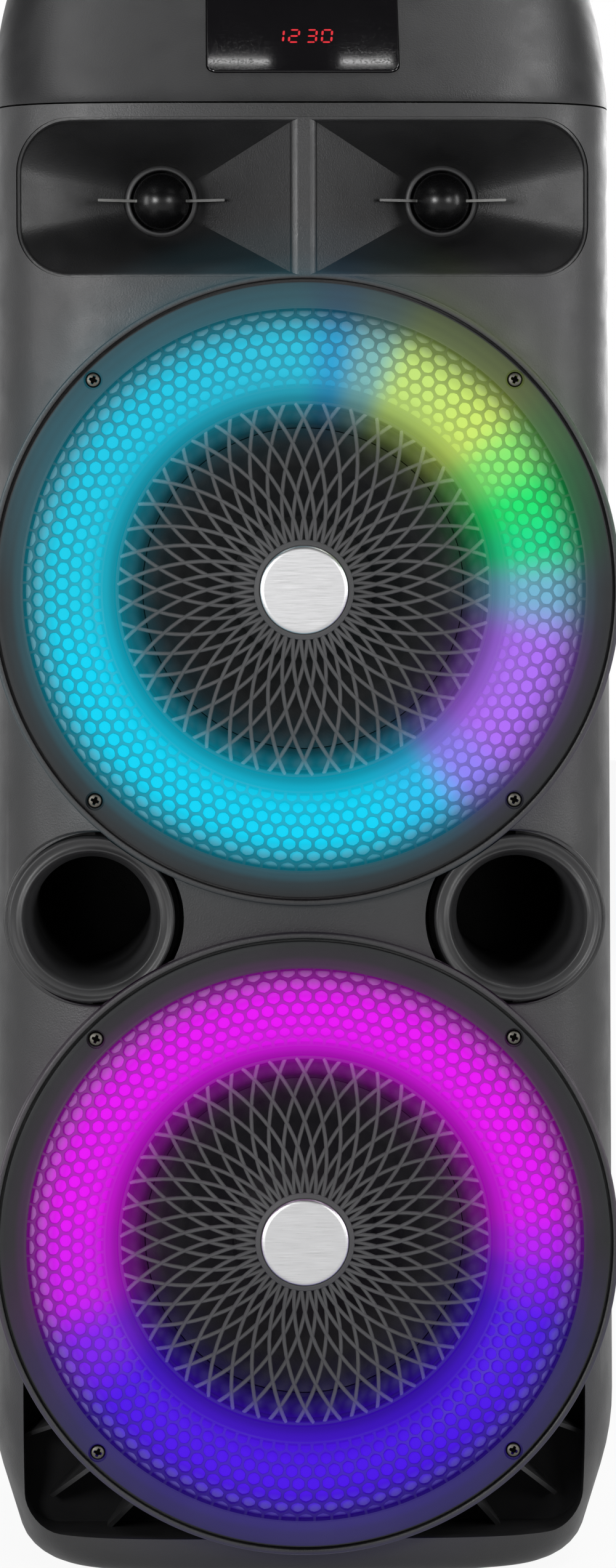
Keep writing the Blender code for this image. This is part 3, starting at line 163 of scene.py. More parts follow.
class SpeakerCarry(bpy.types.PropertyGroup):
    """Sizes of the wheels, the handle and the rear plate."""

    wheel_radius: length("Wheel radius", 0.032, "Radius of a wheel")
    wheel_width: length("Wheel width", 0.022, "Width of a wheel")
    leg_radius: length("Leg radius", 0.006, "Radius of the handle's tubes")
    grip_length: length("Grip length", 0.15, "Length of the grip")
    plate_width: length("Plate width", 0.11, "Width of the rear plate")
    plate_height: length("Plate height", 0.08, "Height of the rear plate")


class SpeakerColours(bpy.types.PropertyGroup):
    """Colours of the finishes."""

    case: tint("Case", (39, 39, 40), "Textured plastic of the cabinet")
    trim: tint("Trim", (37, 37, 38), "Plainer plastic of the horn, ports and controls")
    cover: tint("Cover", (40, 41, 42), "Plastic of the flanges")
    ribs: tint("Ribs", (74, 74, 75), "Plastic of the centre grilles")
    cells: tint("Cells", (11, 12, 13), "Plastic between the perforations")
    diffuser: tint("Diffuser", (92, 94, 95), "Light rings where they don't glow")
    badge: tint("Badge", (208, 208, 209), "Brushed metal discs")
    screw: tint("Screws", (98, 96, 90), "Screw heads")
    display: tint("Display", (236, 22, 40), "Digits of the display")
    floor: tint("Floor", (205, 205, 205), "Studio floor")


GROUPS = {
    "speaker_cabinet": SpeakerCabinet,
    "speaker_woofer": SpeakerWoofer,
    "speaker_front": SpeakerFront,
    "speaker_carry": SpeakerCarry,
    "speaker_colours": SpeakerColours,
}


def plan():
    """The sizes and colours in use, lesser sizes, and what follows from them."""
    p = SimpleNamespace()
    for key, kind in GROUPS.items():
        group = getattr(bpy.context.scene, key)
        for name in kind.__annotations__:
            value = getattr(group, name)
            setattr(p, name, tuple(value) if key == "speaker_colours" else value)
    p.parting_depth, p.base_taper_rise, p.base_round, p.cap_lean_ease = 0.08, 0.062, 0.014, 0.004
    p.cap_back_inset, p.deck_setback, p.panel_setback, p.window_rise = 0.016, 0.08, 0.058, 0.0375
    p.rim_width, p.rim_proud, p.drum_depth, p.cell_first = 0.003, 0.006, 0.066, radians(30.5)
    p.mesh_step, p.mesh_seat, p.mesh_rise, p.mesh_rim = 0.006, 0.013, 0.003, 0.0017
    p.screw_inset, p.horn_gap, p.horn_border, p.horn_lip = 0.006, 0.0015, 0.0065, 0.0025
    p.ridge_round, p.throat_shift, p.vane_half, p.port_mouth = 0.0042, 0.00405, 0.031, 0.033
    p.boss_radius, p.pocket_lip, p.pocket_corner, p.rib_thick = 0.043, 0.018, 0.018, 0.0022
    p.wheel_inset, p.wheel_lift, p.axle_radius, p.arch_clearance = 0.0315, 0.0015, 0.004, 0.006
    p.leg_reach, p.grip_margin, p.finger_gap, p.plate_thick = 0.27, 0.0335, 0.02, 0.0034
    p.plate_level, p.seam_gap, p.dome_curve, p.dome_outer = 0.36, 0.0008, 0.03, radians(35)
    p.dome_inner, p.cell_step, p.flange_width = radians(-47), radians(12), 0.013
    p.hub_radius, p.horn_corner, p.ridge_half, p.throat_depth = 0.024, 0.026, 0.0066, 0.058
    p.port_bore, p.port_proud, p.leg_offset, p.grip_depth = 0.0285, 0.005, 0.062, 0.02
    p.grip_height, p.panel_length, p.knob_height = 0.022, 0.086, 0.019
    p.dome_thick, p.cell_corner, p.button_pitch, p.port_length = 0.0016, 1.05, 0.026, 0.12
    p.flange_inner = p.ring_radius - p.flange_width
    rise = p.dome_curve * (1 - cos(p.dome_outer))
    p.dome_peak = p.flange_inner - p.dome_curve * sin(p.dome_outer)
    p.flange_proud = 0.001
    p.flange_seat = 0.004
    proud = p.rim_proud + p.flange_proud + rise
    p.front_y = (proud - p.cabinet_depth) / 2
    p.back_y = (proud + p.cabinet_depth) / 2
    p.rim_y = p.front_y - p.rim_proud
    p.parting_y = p.front_y + p.parting_depth
    p.lower = p.foot_height + p.base_border + p.ring_radius
    p.spacing = 2 * p.ring_radius + p.woofer_gap
    p.upper = p.lower + p.spacing
    p.woofers = (("upper", p.upper), ("lower", p.lower))
    p.ring_clearance = 0.0005
    p.drum_radius = p.ring_radius + p.ring_clearance + p.rim_width
    p.dome_centre = p.dome_curve - p.flange_proud - rise
    p.screw_circle = p.ring_radius - p.screw_inset
    p.mesh_radius = p.dome_peak + p.dome_curve * sin(p.dome_inner) - p.mesh_step
    p.driver_seat = 0.036
    p.driver_cutout = p.mesh_radius + 0.0016
    p.driver_flange = p.driver_cutout + 0.01
    p.cone_radius = p.driver_cutout - 0.015
    p.coil_radius = 0.02
    p.basket_back = p.driver_seat + 0.06
    p.port_height = p.lower + p.spacing / 2
    p.port_offset = sqrt((p.ring_radius + p.port_lip) ** 2 - (p.spacing / 2) ** 2)
    p.horn_height = p.upper + p.ring_radius + p.horn_gap + p.horn_half_height
    p.horn_half_width = p.top_width / 2 - p.horn_side
    p.throat_offset = (p.horn_half_width + p.ridge_half) / 2 - p.throat_shift
    p.seam = p.horn_height + p.horn_half_height + p.horn_border
    p.hollow_depth = 0.009
    p.pocket_half = p.base_width / 2 - p.base_taper
    p.pocket_floor = p.foot_height + p.pocket_lip
    p.grip_y = p.back_y - p.grip_margin
    p.leg_bottom = p.seam - p.leg_reach
    p.wheel_offset = p.base_width / 2 - p.wheel_inset
    p.wheel_y = p.back_y - p.wheel_radius - p.wheel_lift
    p.wheel_z = p.wheel_radius + p.wheel_lift
    return p


# Building blocks
def object_of(name, work):
    """A mesh object at the origin from a built-up mesh, which is used up."""
    mesh = bpy.data.meshes.new(name)
    work.to_mesh(mesh)
    work.free()
    obj = bpy.data.objects.new(name, mesh)
    bpy.context.scene.collection.objects.link(obj)
    return obj


def solid(name, points, faces):
    """A mesh object with its faces pointing outwards; a face may name a corner twice."""
    work = bmesh.new()
    corners = [work.verts.new(point) for point in points]
    for face in map(dict.fromkeys, faces):
        if len(face) > 2:
            work.faces.new([corners[index] for index in face])
    bmesh.ops.recalc_face_normals(work, faces=work.faces)
    return object_of(name, work)


def loft(name, rings):
    """A solid through rings of equally many points, closed at each end."""
    count = len(rings[0])
    points = [point for ring in rings for point in ring]
    faces = [tuple(range(count)), tuple(range(len(points) - count, len(points)))]
    for row in range(len(rings) - 1):
        low = row * count
        high = low + count
        for step in range(count):
            after = (step + 1) % count
            faces.append((low + step, low + after, high + after, high + step))
    return solid(name, points, faces)


def lathe(name, profile, count, place=(0, 0, 0), turned=(0, 0, 0)):
    """A closed profile of (radius, distance) points, turned about local Y."""
    matrix = Matrix.Translation(place) @ Euler(turned).to_matrix().to_4x4()
    points = []
    rings = []
    for radius, along in profile:
        ring = []
        for step in range(count if radius > 1e-7 else 1):
            angle = 2 * pi * (step + 0.25) / count
            ring.append(len(points))
            points.append(matrix @ Vector((radius * cos(angle), along, radius * sin(angle))))
        rings.append(ring)
    faces = []
    for first, second in zip(rings, rings[1:] + rings[:1]):
        for step in range(count):
            after = (step + 1) % count
            corners = ((first, step), (first, after), (second, after), (second, step))
            faces.append([ring[index % len(ring)] for ring, index in corners])
    return solid(name, points, faces)


def shares(steps):
    """Shares from zero to one in equal steps."""
    return [step / steps for step in range(steps + 1)]


def bend(first, corner, last, steps):
    """Points of a curve that rounds a corner."""
    return [first * (1 - t) ** 2 + corner * 2 * t * (1 - t) + last * t**2 for t in shares(steps)]


def soften(profile, steps=4):
    """Rounds the points of a closed outline that carry a rounding as a third value."""
    result = []
    for index, point in enumerate(profile):
        here = Vector(point[:2])
        rounding = point[2] if len(point) > 2 else 0
        if not rounding:
            result.append(tuple(here))
            continue
        before = Vector(profile[index - 1][:2]) - here
        after = Vector(profile[(index + 1) % len(profile)][:2]) - here
        reach = min(rounding, before.length * 0.48, after.length * 0.48)
        first = here + before.normalized() * reach
        last = here + after.normalized() * reach
        result += map(tuple, bend(first, here, last, steps))
    return result


def rounded(half_x, half_y, radius, steps=6):
    """A rectangle with round corners, about the origin."""
    points = []
    for quarter in range(4):
        sign_x = 1 if quarter in (0, 3) else -1
        sign_y = 1 if quarter in (0, 1) else -1
        for part in shares(steps):
            angle = pi / 2 * (quarter + part)
            x = sign_x * (half_x - radius) + radius * cos(angle)
            points.append((x, sign_y * (half_y - radius) + radius * sin(angle)))
    return points


def prism(name, outline, near, far):
    """An outline of (x, z) points carried along Y."""
    return loft(name, [[(x, y, z) for x, z in outline] for y in (near, far)])


def box(name, low, high):
    """A plain block between two corners, used for cutting."""
    outline = [(low[0], low[2]), (high[0], low[2]), (high[0], high[2]), (low[0], high[2])]
    return prism(name, outline, low[1], high[1])


def cylinder(name, radius, low, high, place, count=MIDDLE_ROUND, turned=(0, 0, 0)):
    """A plain round bar along local Y, used for cutting."""
    return lathe(name, [(0, low), (radius, low), (radius, high), (0, high)], count, place, turned)


def moved(obj, matrix):
    """Puts a turn and a place into an object's mesh."""
    obj.data.transform(matrix)
    return obj


def bake(obj):
    """Puts the result of an object's modifiers in its mesh."""
    bpy.context.view_layer.update()
    graph = bpy.context.evaluated_depsgraph_get()
    old = obj.data
    obj.data = bpy.data.meshes.new_from_object(obj.evaluated_get(graph))
    obj.modifiers.clear()
    bpy.data.meshes.remove(old)
    return obj


def combine(obj, operation, *others):
    """Joins, cuts or keeps the overlap with the other objects, which are used up."""
    for other in others:
        modifier = obj.modifiers.new(operation.title(), "BOOLEAN")
        modifier.operation = operation
        modifier.solver = "MANIFOLD"
        modifier.object = other
        bake(obj)
        bpy.data.objects.remove(other)
    return obj


def cut(obj, *others):
    """Takes the other objects out of one."""
    return combine(obj, "DIFFERENCE", *others)


def together(name, *pieces):
    """Several meshes as one object."""
    work = bmesh.new()
    for piece in pieces:
        work.from_mesh(piece.data)
        bpy.data.objects.remove(piece)
    return object_of(name, work)


def finish(obj, material, *nodes, body="cabinet", slot="trim_plastic", angle=32):
    """Gives a piece its finish, its shading, its body and the nodes that it replaces."""
    obj.data.materials.clear()
    obj.data.materials.append(material)
    obj.data.shade_smooth()
    obj.data.set_sharp_from_angle(angle=radians(angle))
    obj.modifiers.new("Even shading", "WEIGHTED_NORMAL").keep_sharp = True
    bake(obj)
    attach(obj, body)
    if nodes:
        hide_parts(*nodes)


# Nodes
def feed(socket, value):
    """Sets an input to a value, or links it to an output."""
    if isinstance(value, bpy.types.NodeSocket):
        socket.id_data.links.new(value, socket)
    else:
        socket.default_value = value


def fill(node, **values):
    """Fills a node's inputs and options by name, with an underscore for a space."""
    for key, value in values.items():
        title = key.replace("_", " ")
        if title in node.inputs:
            feed(node.inputs[title], value)
        else:
            setattr(node, key, value)
    return node


def add_node(tree, kind, **values):
    """A new node, filled; a shader node goes by its short name."""
    return fill(tree.nodes.new(kind if "Node" in kind else f"ShaderNode{kind}"), **values)


def arithmetic(operation, *values):
    """The result of a Math node on sockets or numbers."""
    tree = next(value.id_data for value in values if isinstance(value, bpy.types.NodeSocket))
    node = add_node(tree, "Math", operation=operation)
    for socket, value in zip(node.inputs, values):
        feed(socket, value)
    return node.outputs[0]


# Geometry Nodes for what repeats
def repeat_tree(name, lay_out, *vectors):
    """A node tree that copies a shape to the places that a function lays out."""
    if name in bpy.data.node_groups:
        return bpy.data.node_groups[name]
    tree = bpy.data.node_groups.new(name, "GeometryNodeTree")
    sockets = [("Geometry", "Geometry"), ("Count", "Int")] + [(title, "Vector") for title in vectors]
    for title, kind in sockets + [("Material", "Material")]:
        tree.interface.new_socket(title, in_out="INPUT", socket_type=f"NodeSocket{kind}")
    tree.interface.new_socket("Geometry", in_out="OUTPUT", socket_type="NodeSocketGeometry")
    source = tree.nodes.new("NodeGroupInput").outputs
    index = tree.nodes.new("GeometryNodeInputIndex").outputs[0]
    points = add_node(tree, "GeometryNodePoints", Count=source["Count"])
    copies = add_node(tree, "GeometryNodeInstanceOnPoints", Points=points.outputs[0])
    lay_out(tree, source, index, points, copies)
    real = add_node(tree, "GeometryNodeRealizeInstances", Geometry=copies.outputs[0])
    weld = add_node(tree, "GeometryNodeMergeByDistance", Geometry=real.outputs[0], Distance=2e-6)
    dress = add_node(tree, "GeometryNodeSetMaterial", Geometry=weld.outputs[0], Material=source["Material"])
    add_node(tree, "NodeGroupOutput", Geometry=dress.outputs[0])
    return tree


def lay_round(tree, source, index, points, copies):
    """Lays copies evenly round an axis through a centre."""
    centre = source["Centre"]
    back = add_node(tree, "VectorMath", operation="SCALE", Vector=centre, Scale=-1)
    shape = add_node(tree, "GeometryNodeTransform", Geometry=source["Geometry"], Translation=back.outputs[0])
    angle = arithmetic("MULTIPLY", arithmetic("DIVIDE", 2 * pi, source["Count"]), index)
    spin = add_node(tree, "FunctionNodeAxisAngleToRotation", Axis=source["Axis"], Angle=angle)
    fill(points, Position=centre)
    fill(copies, Instance=shape.outputs[0], Rotation=spin.outputs[0])


def lay_along(tree, source, index, points, copies):
    """Lays copies evenly along a line."""
    along = add_node(tree, "VectorMath", operation="SCALE", Vector=source["Step"], Scale=index)
    fill(points, Position=along.outputs[0])
    fill(copies, Instance=source["Geometry"])


def repeated(obj, tree, **values):
    """Runs a repeating tree on an object and keeps the result as its mesh."""
    modifier = obj.modifiers.new("Repeat", "NODES")
    modifier.node_group = tree
    for item in tree.interface.items_tree:
        if item.in_out == "INPUT" and item.name in values:
            modifier[item.identifier] = values[item.name]
    bake(obj)


def repeat_round(obj, material, count, centre, axis=(0, -1, 0)):
    """Copies an object's shape evenly round an axis."""
    tree = repeat_tree("Repeat round an axis", lay_round, "Centre", "Axis")
    repeated(obj, tree, Count=count, Centre=centre, Axis=axis, Material=material)


def repeat_along(obj, material, count, step):
    """Copies an object's shape evenly along a line."""
    tree = repeat_tree("Repeat along a line", lay_along, "Step")
    repeated(obj, tree, Count=count, Step=step, Material=material)


# Forms of the cabinet
def base_inset(p, height):
    """How far the lowest part of the cabinet draws in at a height."""
    rise = height - p.foot_height
    part = 1 - rise / p.base_taper_rise
    ease = 0.3
    if part < -ease:
        part = 0
    elif part < ease:
        part = (part + ease) ** 2 / (4 * ease)
    inset = p.base_taper * part
    if rise < p.base_round:
        inset += p.base_round - sqrt(p.base_round**2 - (p.base_round - max(rise, 0)) ** 2)
    return inset


def body_level(p, height):
    """Half width, front and back of the cabinet at a height."""
    part = (height - p.foot_height) / (p.seam - p.foot_height)
    inset = base_inset(p, height)
    half_width = (p.base_width + (p.top_width - p.base_width) * part) / 2 - inset
    return half_width, p.front_y + 0.45 * inset, p.back_y - 0.45 * inset


def section_point(p, level, angle, inset):
    """A point of the cabinet's outline from above, a superellipse."""
    half_width, front, back = level
    power = 2 / p.corner_power
    x = copysign(abs(cos(angle)) ** power, cos(angle))
    y = copysign(abs(sin(angle)) ** power, sin(angle))
    return (half_width - inset) * x, (front + back) / 2 + ((back - front) / 2 - inset) * y


def section_angles():
    """Angles of the outline's points, none on the sides' middles."""
    return [2 * pi * (step + 0.5) / SECTION_POINTS for step in range(SECTION_POINTS)]


def section(p, level, height, inset):
    return [(*section_point(p, level, angle, inset), height) for angle in section_angles()]


def cabinet_form(p, name, inset, bottom, top):
    """The cabinet's solid between two heights, drawn in by a wall."""
    rises = [0.0007, 0.002, 0.004, 0.0065, 0.01, p.base_round]
    rises += [0.024, 0.034, 0.044, 0.054, 0.063, 0.072, 0.081] + [0.15 + 0.08 * step for step in range(7)]
    levels = [p.foot_height + rise for rise in rises]
    heights = [bottom, *(level for level in levels if bottom < level < top), top]
    return loft(name, [section(p, body_level(p, height), height, inset) for height in heights])


def skin_y(p, x, height, inset=0):
    """Y of the cabinet's front skin at a place."""
    half_width, front, back = body_level(p, height)
    part = min(abs(x) / (half_width - inset), 1)
    depth = (1 - part**p.corner_power) ** (1 / p.corner_power)
    return (front + back) / 2 - ((back - front) / 2 - inset) * depth


def dome(p, angle, offset):
    """Radius and depth of a point on the perforated cover's round."""
    reach = p.dome_curve + offset
    return p.dome_peak + reach * sin(angle), p.dome_centre - reach * cos(angle)


def dome_arc(p, offset, first, last, steps):
    return [dome(p, first + (last - first) * part, offset) for part in shares(steps)]


def screw_places(p):
    """Places of a cover's four screws, as (x, z) from its centre."""
    angles = [pi / 4 + quarter * pi / 2 for quarter in range(4)]
    return [(p.screw_circle * cos(angle), p.screw_circle * sin(angle)) for angle in angles]


def front_baffle(p):
    """The front moulding: drums, horn opening, port seats and ribbed corner pockets."""
    ahead, front = p.rim_y - 0.05, p.front_y
    baffle = cabinet_form(p, "front_baffle_skin", 0, p.foot_height, p.seam)
    inside = cabinet_form(p, "inside", p.wall, p.foot_height + p.wall, p.seam + 0.05)
    cut(baffle, inside, box("behind", (-1, p.parting_y, -1), (1, 1, 1)))
    outline = pocket_outline(p, p.wall)
    block = prism("block", outline, ahead, p.front_y + p.pocket_depth + p.wall)
    limit = cabinet_form(p, "limit", p.wall / 2, p.foot_height + p.wall / 2, p.seam)
    combine(baffle, "UNION", combine(block, "INTERSECT", limit))
    seat = front - p.port_proud + 0.0046
    low = skin_y(p, p.port_offset + p.boss_radius, p.port_height, p.wall) + 0.004
    profile = soften([(0, seat), (p.boss_radius, seat, 0.0012), (p.boss_radius, low), (0, low)])
    for side in (-1, 1):
        place = (side * p.port_offset, 0, p.port_height)
        combine(baffle, "UNION", lathe("boss", profile, MIDDLE_ROUND, place))
    for _, height in p.woofers:
        place = (0, p.rim_y, height)
        clear = cylinder("clear", p.drum_radius - p.wall / 4, -0.05, p.drum_depth, place, BIG_ROUND)
        cut(baffle, clear)
        combine(baffle, "UNION", lathe("drum", drum_profile(p), BIG_ROUND, place))
    deep = front + p.pocket_depth
    levels = ((ahead, 0.0016), (front + 0.0015, 0.0016), (front + 0.005, 0), (deep, 0))
    pocket = loft("pocket", [[(x, y, z) for x, z in pocket_outline(p, grow)] for y, grow in levels])
    keep = cylinder("keep", p.drum_radius + GAP, -0.1, 0.2, (0, p.rim_y, p.lower), BIG_ROUND)
    cut(baffle, cut(pocket, keep))
    for side in (-1, 1):
        for angle in (36.2, 46.6, 56.8):
            combine(baffle, "UNION", gusset(p, side, radians(angle)))
    outline = rounded(p.horn_half_width, p.horn_half_height, p.horn_corner, 12)
    cut(baffle, prism("mouth", raised(outline, p.horn_height), ahead, p.parting_y + 0.01))
    for side in (-1, 1):
        place = (side * p.port_offset, 0, p.port_height)
        cut(baffle, cylinder("bore", p.port_lip - 0.0045, ahead, 0, place))
        cut(baffle, port_hollow(p, side))
    return recessed(p, baffle)


def port_hollow(p, side):
    """The crescent hollow beside a port, towards the middle."""
    place = (side * (p.port_offset - 0.0025), p.front_y, p.port_height)
    hollow = cylinder("hollow", p.port_lip + 0.0018, -0.02, p.hollow_depth, place)
    place = (side * p.port_offset, p.front_y, p.port_height)
    cut(hollow, cylinder("keep", p.port_lip - 0.0004, -0.03, 0.02, place))
    for _, height in p.woofers:
        place = (0, p.front_y, height)
        cut(hollow, cylinder("keep", p.drum_radius + GAP, -0.03, 0.02, place, BIG_ROUND))
    return hollow


def recessed(p, obj):
    """Notes on each point its depth behind the skin, as a share of a pocket's."""
    notes = obj.data.attributes.new("recess", "FLOAT", "POINT")
    for point, note in zip(obj.data.vertices, notes.data):
        x, y, z = point.co
        note.value = max(0, y - skin_y(p, x, z)) / p.pocket_depth
    return obj


def drum_profile(p):
    """The round seat that carries a woofer and its light ring."""
    outer, deep, wall = p.drum_radius, p.drum_depth, p.wall
    inner = p.ring_radius + p.ring_clearance
    ledge = p.flange_seat + GAP
    seat = p.flange_inner + p.ring_clearance
    profile = [
        (outer, 0, 0.0012), (outer, deep), (inner, deep), (inner, ledge + wall),
        (p.flange_inner + wall, ledge + wall), (p.flange_inner + wall, p.driver_seat + wall),
        (p.driver_cutout, p.driver_seat + wall), (p.driver_cutout, p.driver_seat), (seat, p.driver_seat),
        (seat, ledge), (inner, ledge), (inner, 0, 0.001),
    ]
    return soften(profile)


def pocket_outline(p, grow):
    """The lower corners' opening, before the drum is taken out of it."""
    half_height = (p.lower - p.pocket_floor) / 2 + grow
    outline = rounded(p.pocket_half + grow, half_height, p.pocket_corner + grow, 8)
    return raised(outline, (p.lower + p.pocket_floor) / 2)


def gusset(p, side, angle):
    """One rib between the drum and the floor of a lower corner pocket."""
    along = (side * cos(angle), -sin(angle))
    across = (-along[1], along[0])
    start = p.drum_radius - p.wall / 2
    reach = min(
        (p.pocket_half + p.wall / 2) / cos(angle), (p.lower - p.pocket_floor + p.wall / 2) / sin(angle),
        p.drum_radius + 0.03,
    )
    floor = p.front_y + p.pocket_depth + p.wall / 2
    side_view = [(start, p.rim_y + 0.008), (reach, p.front_y + p.pocket_depth * 0.82)]
    side_view += [(reach, floor), (start, floor)]
    rings = []
    for half in (-p.rib_thick / 2, p.rib_thick / 2):
        ring = []
        for distance, y in side_view:
            x = along[0] * distance + across[0] * half
            ring.append((x, y, p.lower + along[1] * distance + across[1] * half))
        rings.append(ring)
    return loft("gusset", rings)


def arch(p, name, side, grow):
    """The space of one wheel arch."""
    radius = p.wheel_radius + p.arch_clearance + grow
    outline = [(p.back_y + 0.05, -0.05), (p.wheel_y - radius, -0.05)]
    for part in shares(24):
        angle = pi - pi / 2 * part
        outline.append((p.wheel_y + radius * cos(angle), p.wheel_z + radius * sin(angle)))
    outline.append((p.back_y + 0.05, p.wheel_z + radius))
    inner = p.wheel_offset - p.wheel_width / 2 - p.arch_clearance + 0.002 - grow
    return loft(name, [[(x, y, z) for y, z in outline] for x in (side * inner, side * 0.3)])


def plate_outline(p, grow, corner):
    """The rear plate's outline, let out by a length."""
    return raised(rounded(p.plate_width / 2 + grow, p.plate_height / 2 + grow, corner), p.plate_level)


def rear_shell(p):
    """The rear moulding with its wheel arches and the rear plate's seat."""
    shell = cabinet_form(p, "rear_shell_skin", 0, p.foot_height, p.seam)
    inside = cabinet_form(p, "inside", p.wall, p.foot_height + p.wall, p.seam + 0.05)
    for side in (-1, 1):
        cut(inside, arch(p, "arch_wall", side, p.wall))
    cut(inside, prism("tray", plate_outline(p, p.wall, 0.006), p.back_y - 0.008, p.back_y + 0.1))
    cut(shell, box("ahead", (-1, -1, -1), (1, p.parting_y + GAP, 1)), inside)
    for side in (-1, 1):
        cut(shell, arch(p, "arch", side, 0))
    cut(shell, prism("seat", plate_outline(p, GAP, 0.0025), p.back_y - p.plate_thick - 2 * GAP, 1))
    cut(shell, prism("opening", plate_outline(p, -0.0077, 0.002), p.back_y - 0.05, 1))
    place = (0, p.wheel_y, p.wheel_z)
    hole = cylinder("axle_hole", p.axle_radius + GAP, -0.3, 0.3, place, SMALL_ROUND, (0, 0, -pi / 2))
    return cut(shell, hole)


def raised(outline, height):
    """An outline of (x, z) points lifted to a height."""
    return [(x, z + height) for x, z in outline]


# Form of the top
def cap_front(p, rise):
    """Front of the top on its middle line, at a height over the seam."""
    return p.front_y + p.cap_lean * rise**2 / (rise + p.cap_lean_ease)


def cap_level(p, part):
    """Half width, front and back of the top at a share of its height."""
    half_width = p.top_width / 2 * (1 - part**2.3) ** 0.2
    return half_width, cap_front(p, part * p.cap_height), p.back_y - p.cap_back_inset * part**3


def deck_start(p):
    """Y and height of the control deck's front edge."""
    rise = 0
    while cap_front(p, rise) < p.front_y + p.deck_setback:
        rise += 0.0002
    return p.front_y + p.deck_setback, p.seam + rise


def deck_at(p, y):
    """Height of the deck at a place."""
    near, level = deck_start(p)
    return level + (y - near) * tan(p.deck_tilt)


def deck_matrix(p, along, across=0):
    """The place of a piece whose local Z stands on the deck."""
    near, level = deck_start(p)
    y = near + along * cos(p.deck_tilt)
    z = level + along * sin(p.deck_tilt)
    return Matrix.Translation((across, y, z)) @ Matrix.Rotation(p.deck_tilt, 4, "X")


def cap_form(p, name, inset, bottom, edge):
    """The top's solid, drawn in by a wall, with a rounded edge at the deck."""
    near, level = deck_start(p)
    slope = tan(p.deck_tilt)
    drop = inset / cos(p.deck_tilt)
    columns = []
    for angle in section_angles():

        def at(height):
            part = max(0, min(0.999, (height - p.seam) / p.cap_height))
            return Vector((*section_point(p, cap_level(p, part), angle, inset), height))

        def over(height):
            return height > level - drop + (at(height).y - near) * slope

        low, high = p.seam + 0.02, p.seam + 0.124
        for _ in range(40):
            middle = (low + high) / 2
            low, high = (low, middle) if over(middle) else (middle, high)
        corner = at(low)
        below = low
        while (at(below) - corner).length < edge:
            below -= 0.0001
        first = at(below)
        inward = Vector((0, near + 0.08, level - drop + 0.08 * slope)) - corner
        last = corner + inward.normalized() * edge
        path = [at(bottom + (below - bottom) * (step / 26) ** 1.25) for step in range(26)]
        columns.append(path + bend(first, corner, last, 6))
    return loft(name, list(zip(*columns)))


def grip_floor(p):
    """Height of the floor under the handle's grip."""
    return deck_at(p, p.grip_y) - p.grip_height - 0.005


def upright(name, outline, low, high):
    """An outline of (x, y) points carried up."""
    return loft(name, [[(x, y, z) for x, y in outline] for z in (low, high)])


def top_cap(p):
    """The top moulding: window opening, control panel seat and the handle's recess."""
    cap = cap_form(p, "top_cap_skin", 0, p.seam + p.seam_gap, 0.0035)
    inside = cap_form(p, "inside", p.wall, p.seam - 0.02, 0.001)
    half = p.grip_length / 2 + 0.002
    near = p.grip_y - p.grip_depth / 2 - p.finger_gap
    far = p.grip_y + p.grip_depth / 2 + 0.002
    floor = grip_floor(p)
    middle = (near + far) / 2
    deep = (far - near) / 2
    outer = [(x, y + middle) for x, y in rounded(half + p.wall, deep + p.wall, 0.0075)]
    inner = [(x, y + middle) for x, y in rounded(half, deep, 0.004)]
    cut(inside, upright("cup", outer, floor - p.wall, 1))
    cut(cap, inside, upright("recess", inner, floor, 1))
    for side in (-1, 1):
        place = (side * p.leg_offset, p.grip_y, 0)
        hole = cylinder("leg", p.leg_radius + 2 * GAP, 0.7, 0.9, place, SMALL_ROUND, STANDING)
        cut(cap, hole)
    outline = rounded(p.window_width / 2 + GAP, p.window_height / 2 + GAP, 0.005)
    cut(cap, moved(prism("window", outline, -0.02, 0.02), window_matrix(p)))
    half_x = p.panel_width / 2 + GAP
    half_y = p.panel_length / 2 + GAP
    place = deck_matrix(p, p.panel_setback)
    seat = upright("seat", rounded(half_x, half_y, 0.004), GAP - 0.0026, 0.1)
    opening = upright("opening", rounded(half_x - 0.006, half_y - 0.006, 0.003), -0.03, 0.1)
    return cut(cap, moved(seat, place), moved(opening, place))


def window_matrix(p):
    """The place of a piece whose local -Y looks out of the display window."""
    slope = (cap_front(p, p.window_rise + 0.01) - cap_front(p, p.window_rise - 0.01)) / 0.02
    place = (0, cap_front(p, p.window_rise), p.seam + p.window_rise)
    return Matrix.Translation(place) @ Matrix.Rotation(-atan(slope), 4, "X")


# Form of the horns
def horn_outline(p, flare_in, flare_out):
    """Points round one horn's mouth, with its edges let out by two flares."""
    inner = p.ridge_half - flare_in
    outer = p.horn_half_width - p.horn_lip + flare_out
    half = p.horn_half_height - p.horn_lip + flare_out
    radius = p.horn_corner - p.horn_lip + flare_out
    points = []
    for end, order in ((-1, 1), (1, -1)):
        run = [(inner + (outer - radius - inner) * step / 14, end * half) for step in range(14)]
        for part in shares(12):
            angle = pi / 2 * part
            x = outer - radius + radius * sin(angle)
            run.append((x, end * (half - radius + radius * cos(angle))))
        points += run[::order]
    return points + [(inner, half - 2 * half * step / 12) for step in range(1, 12)]


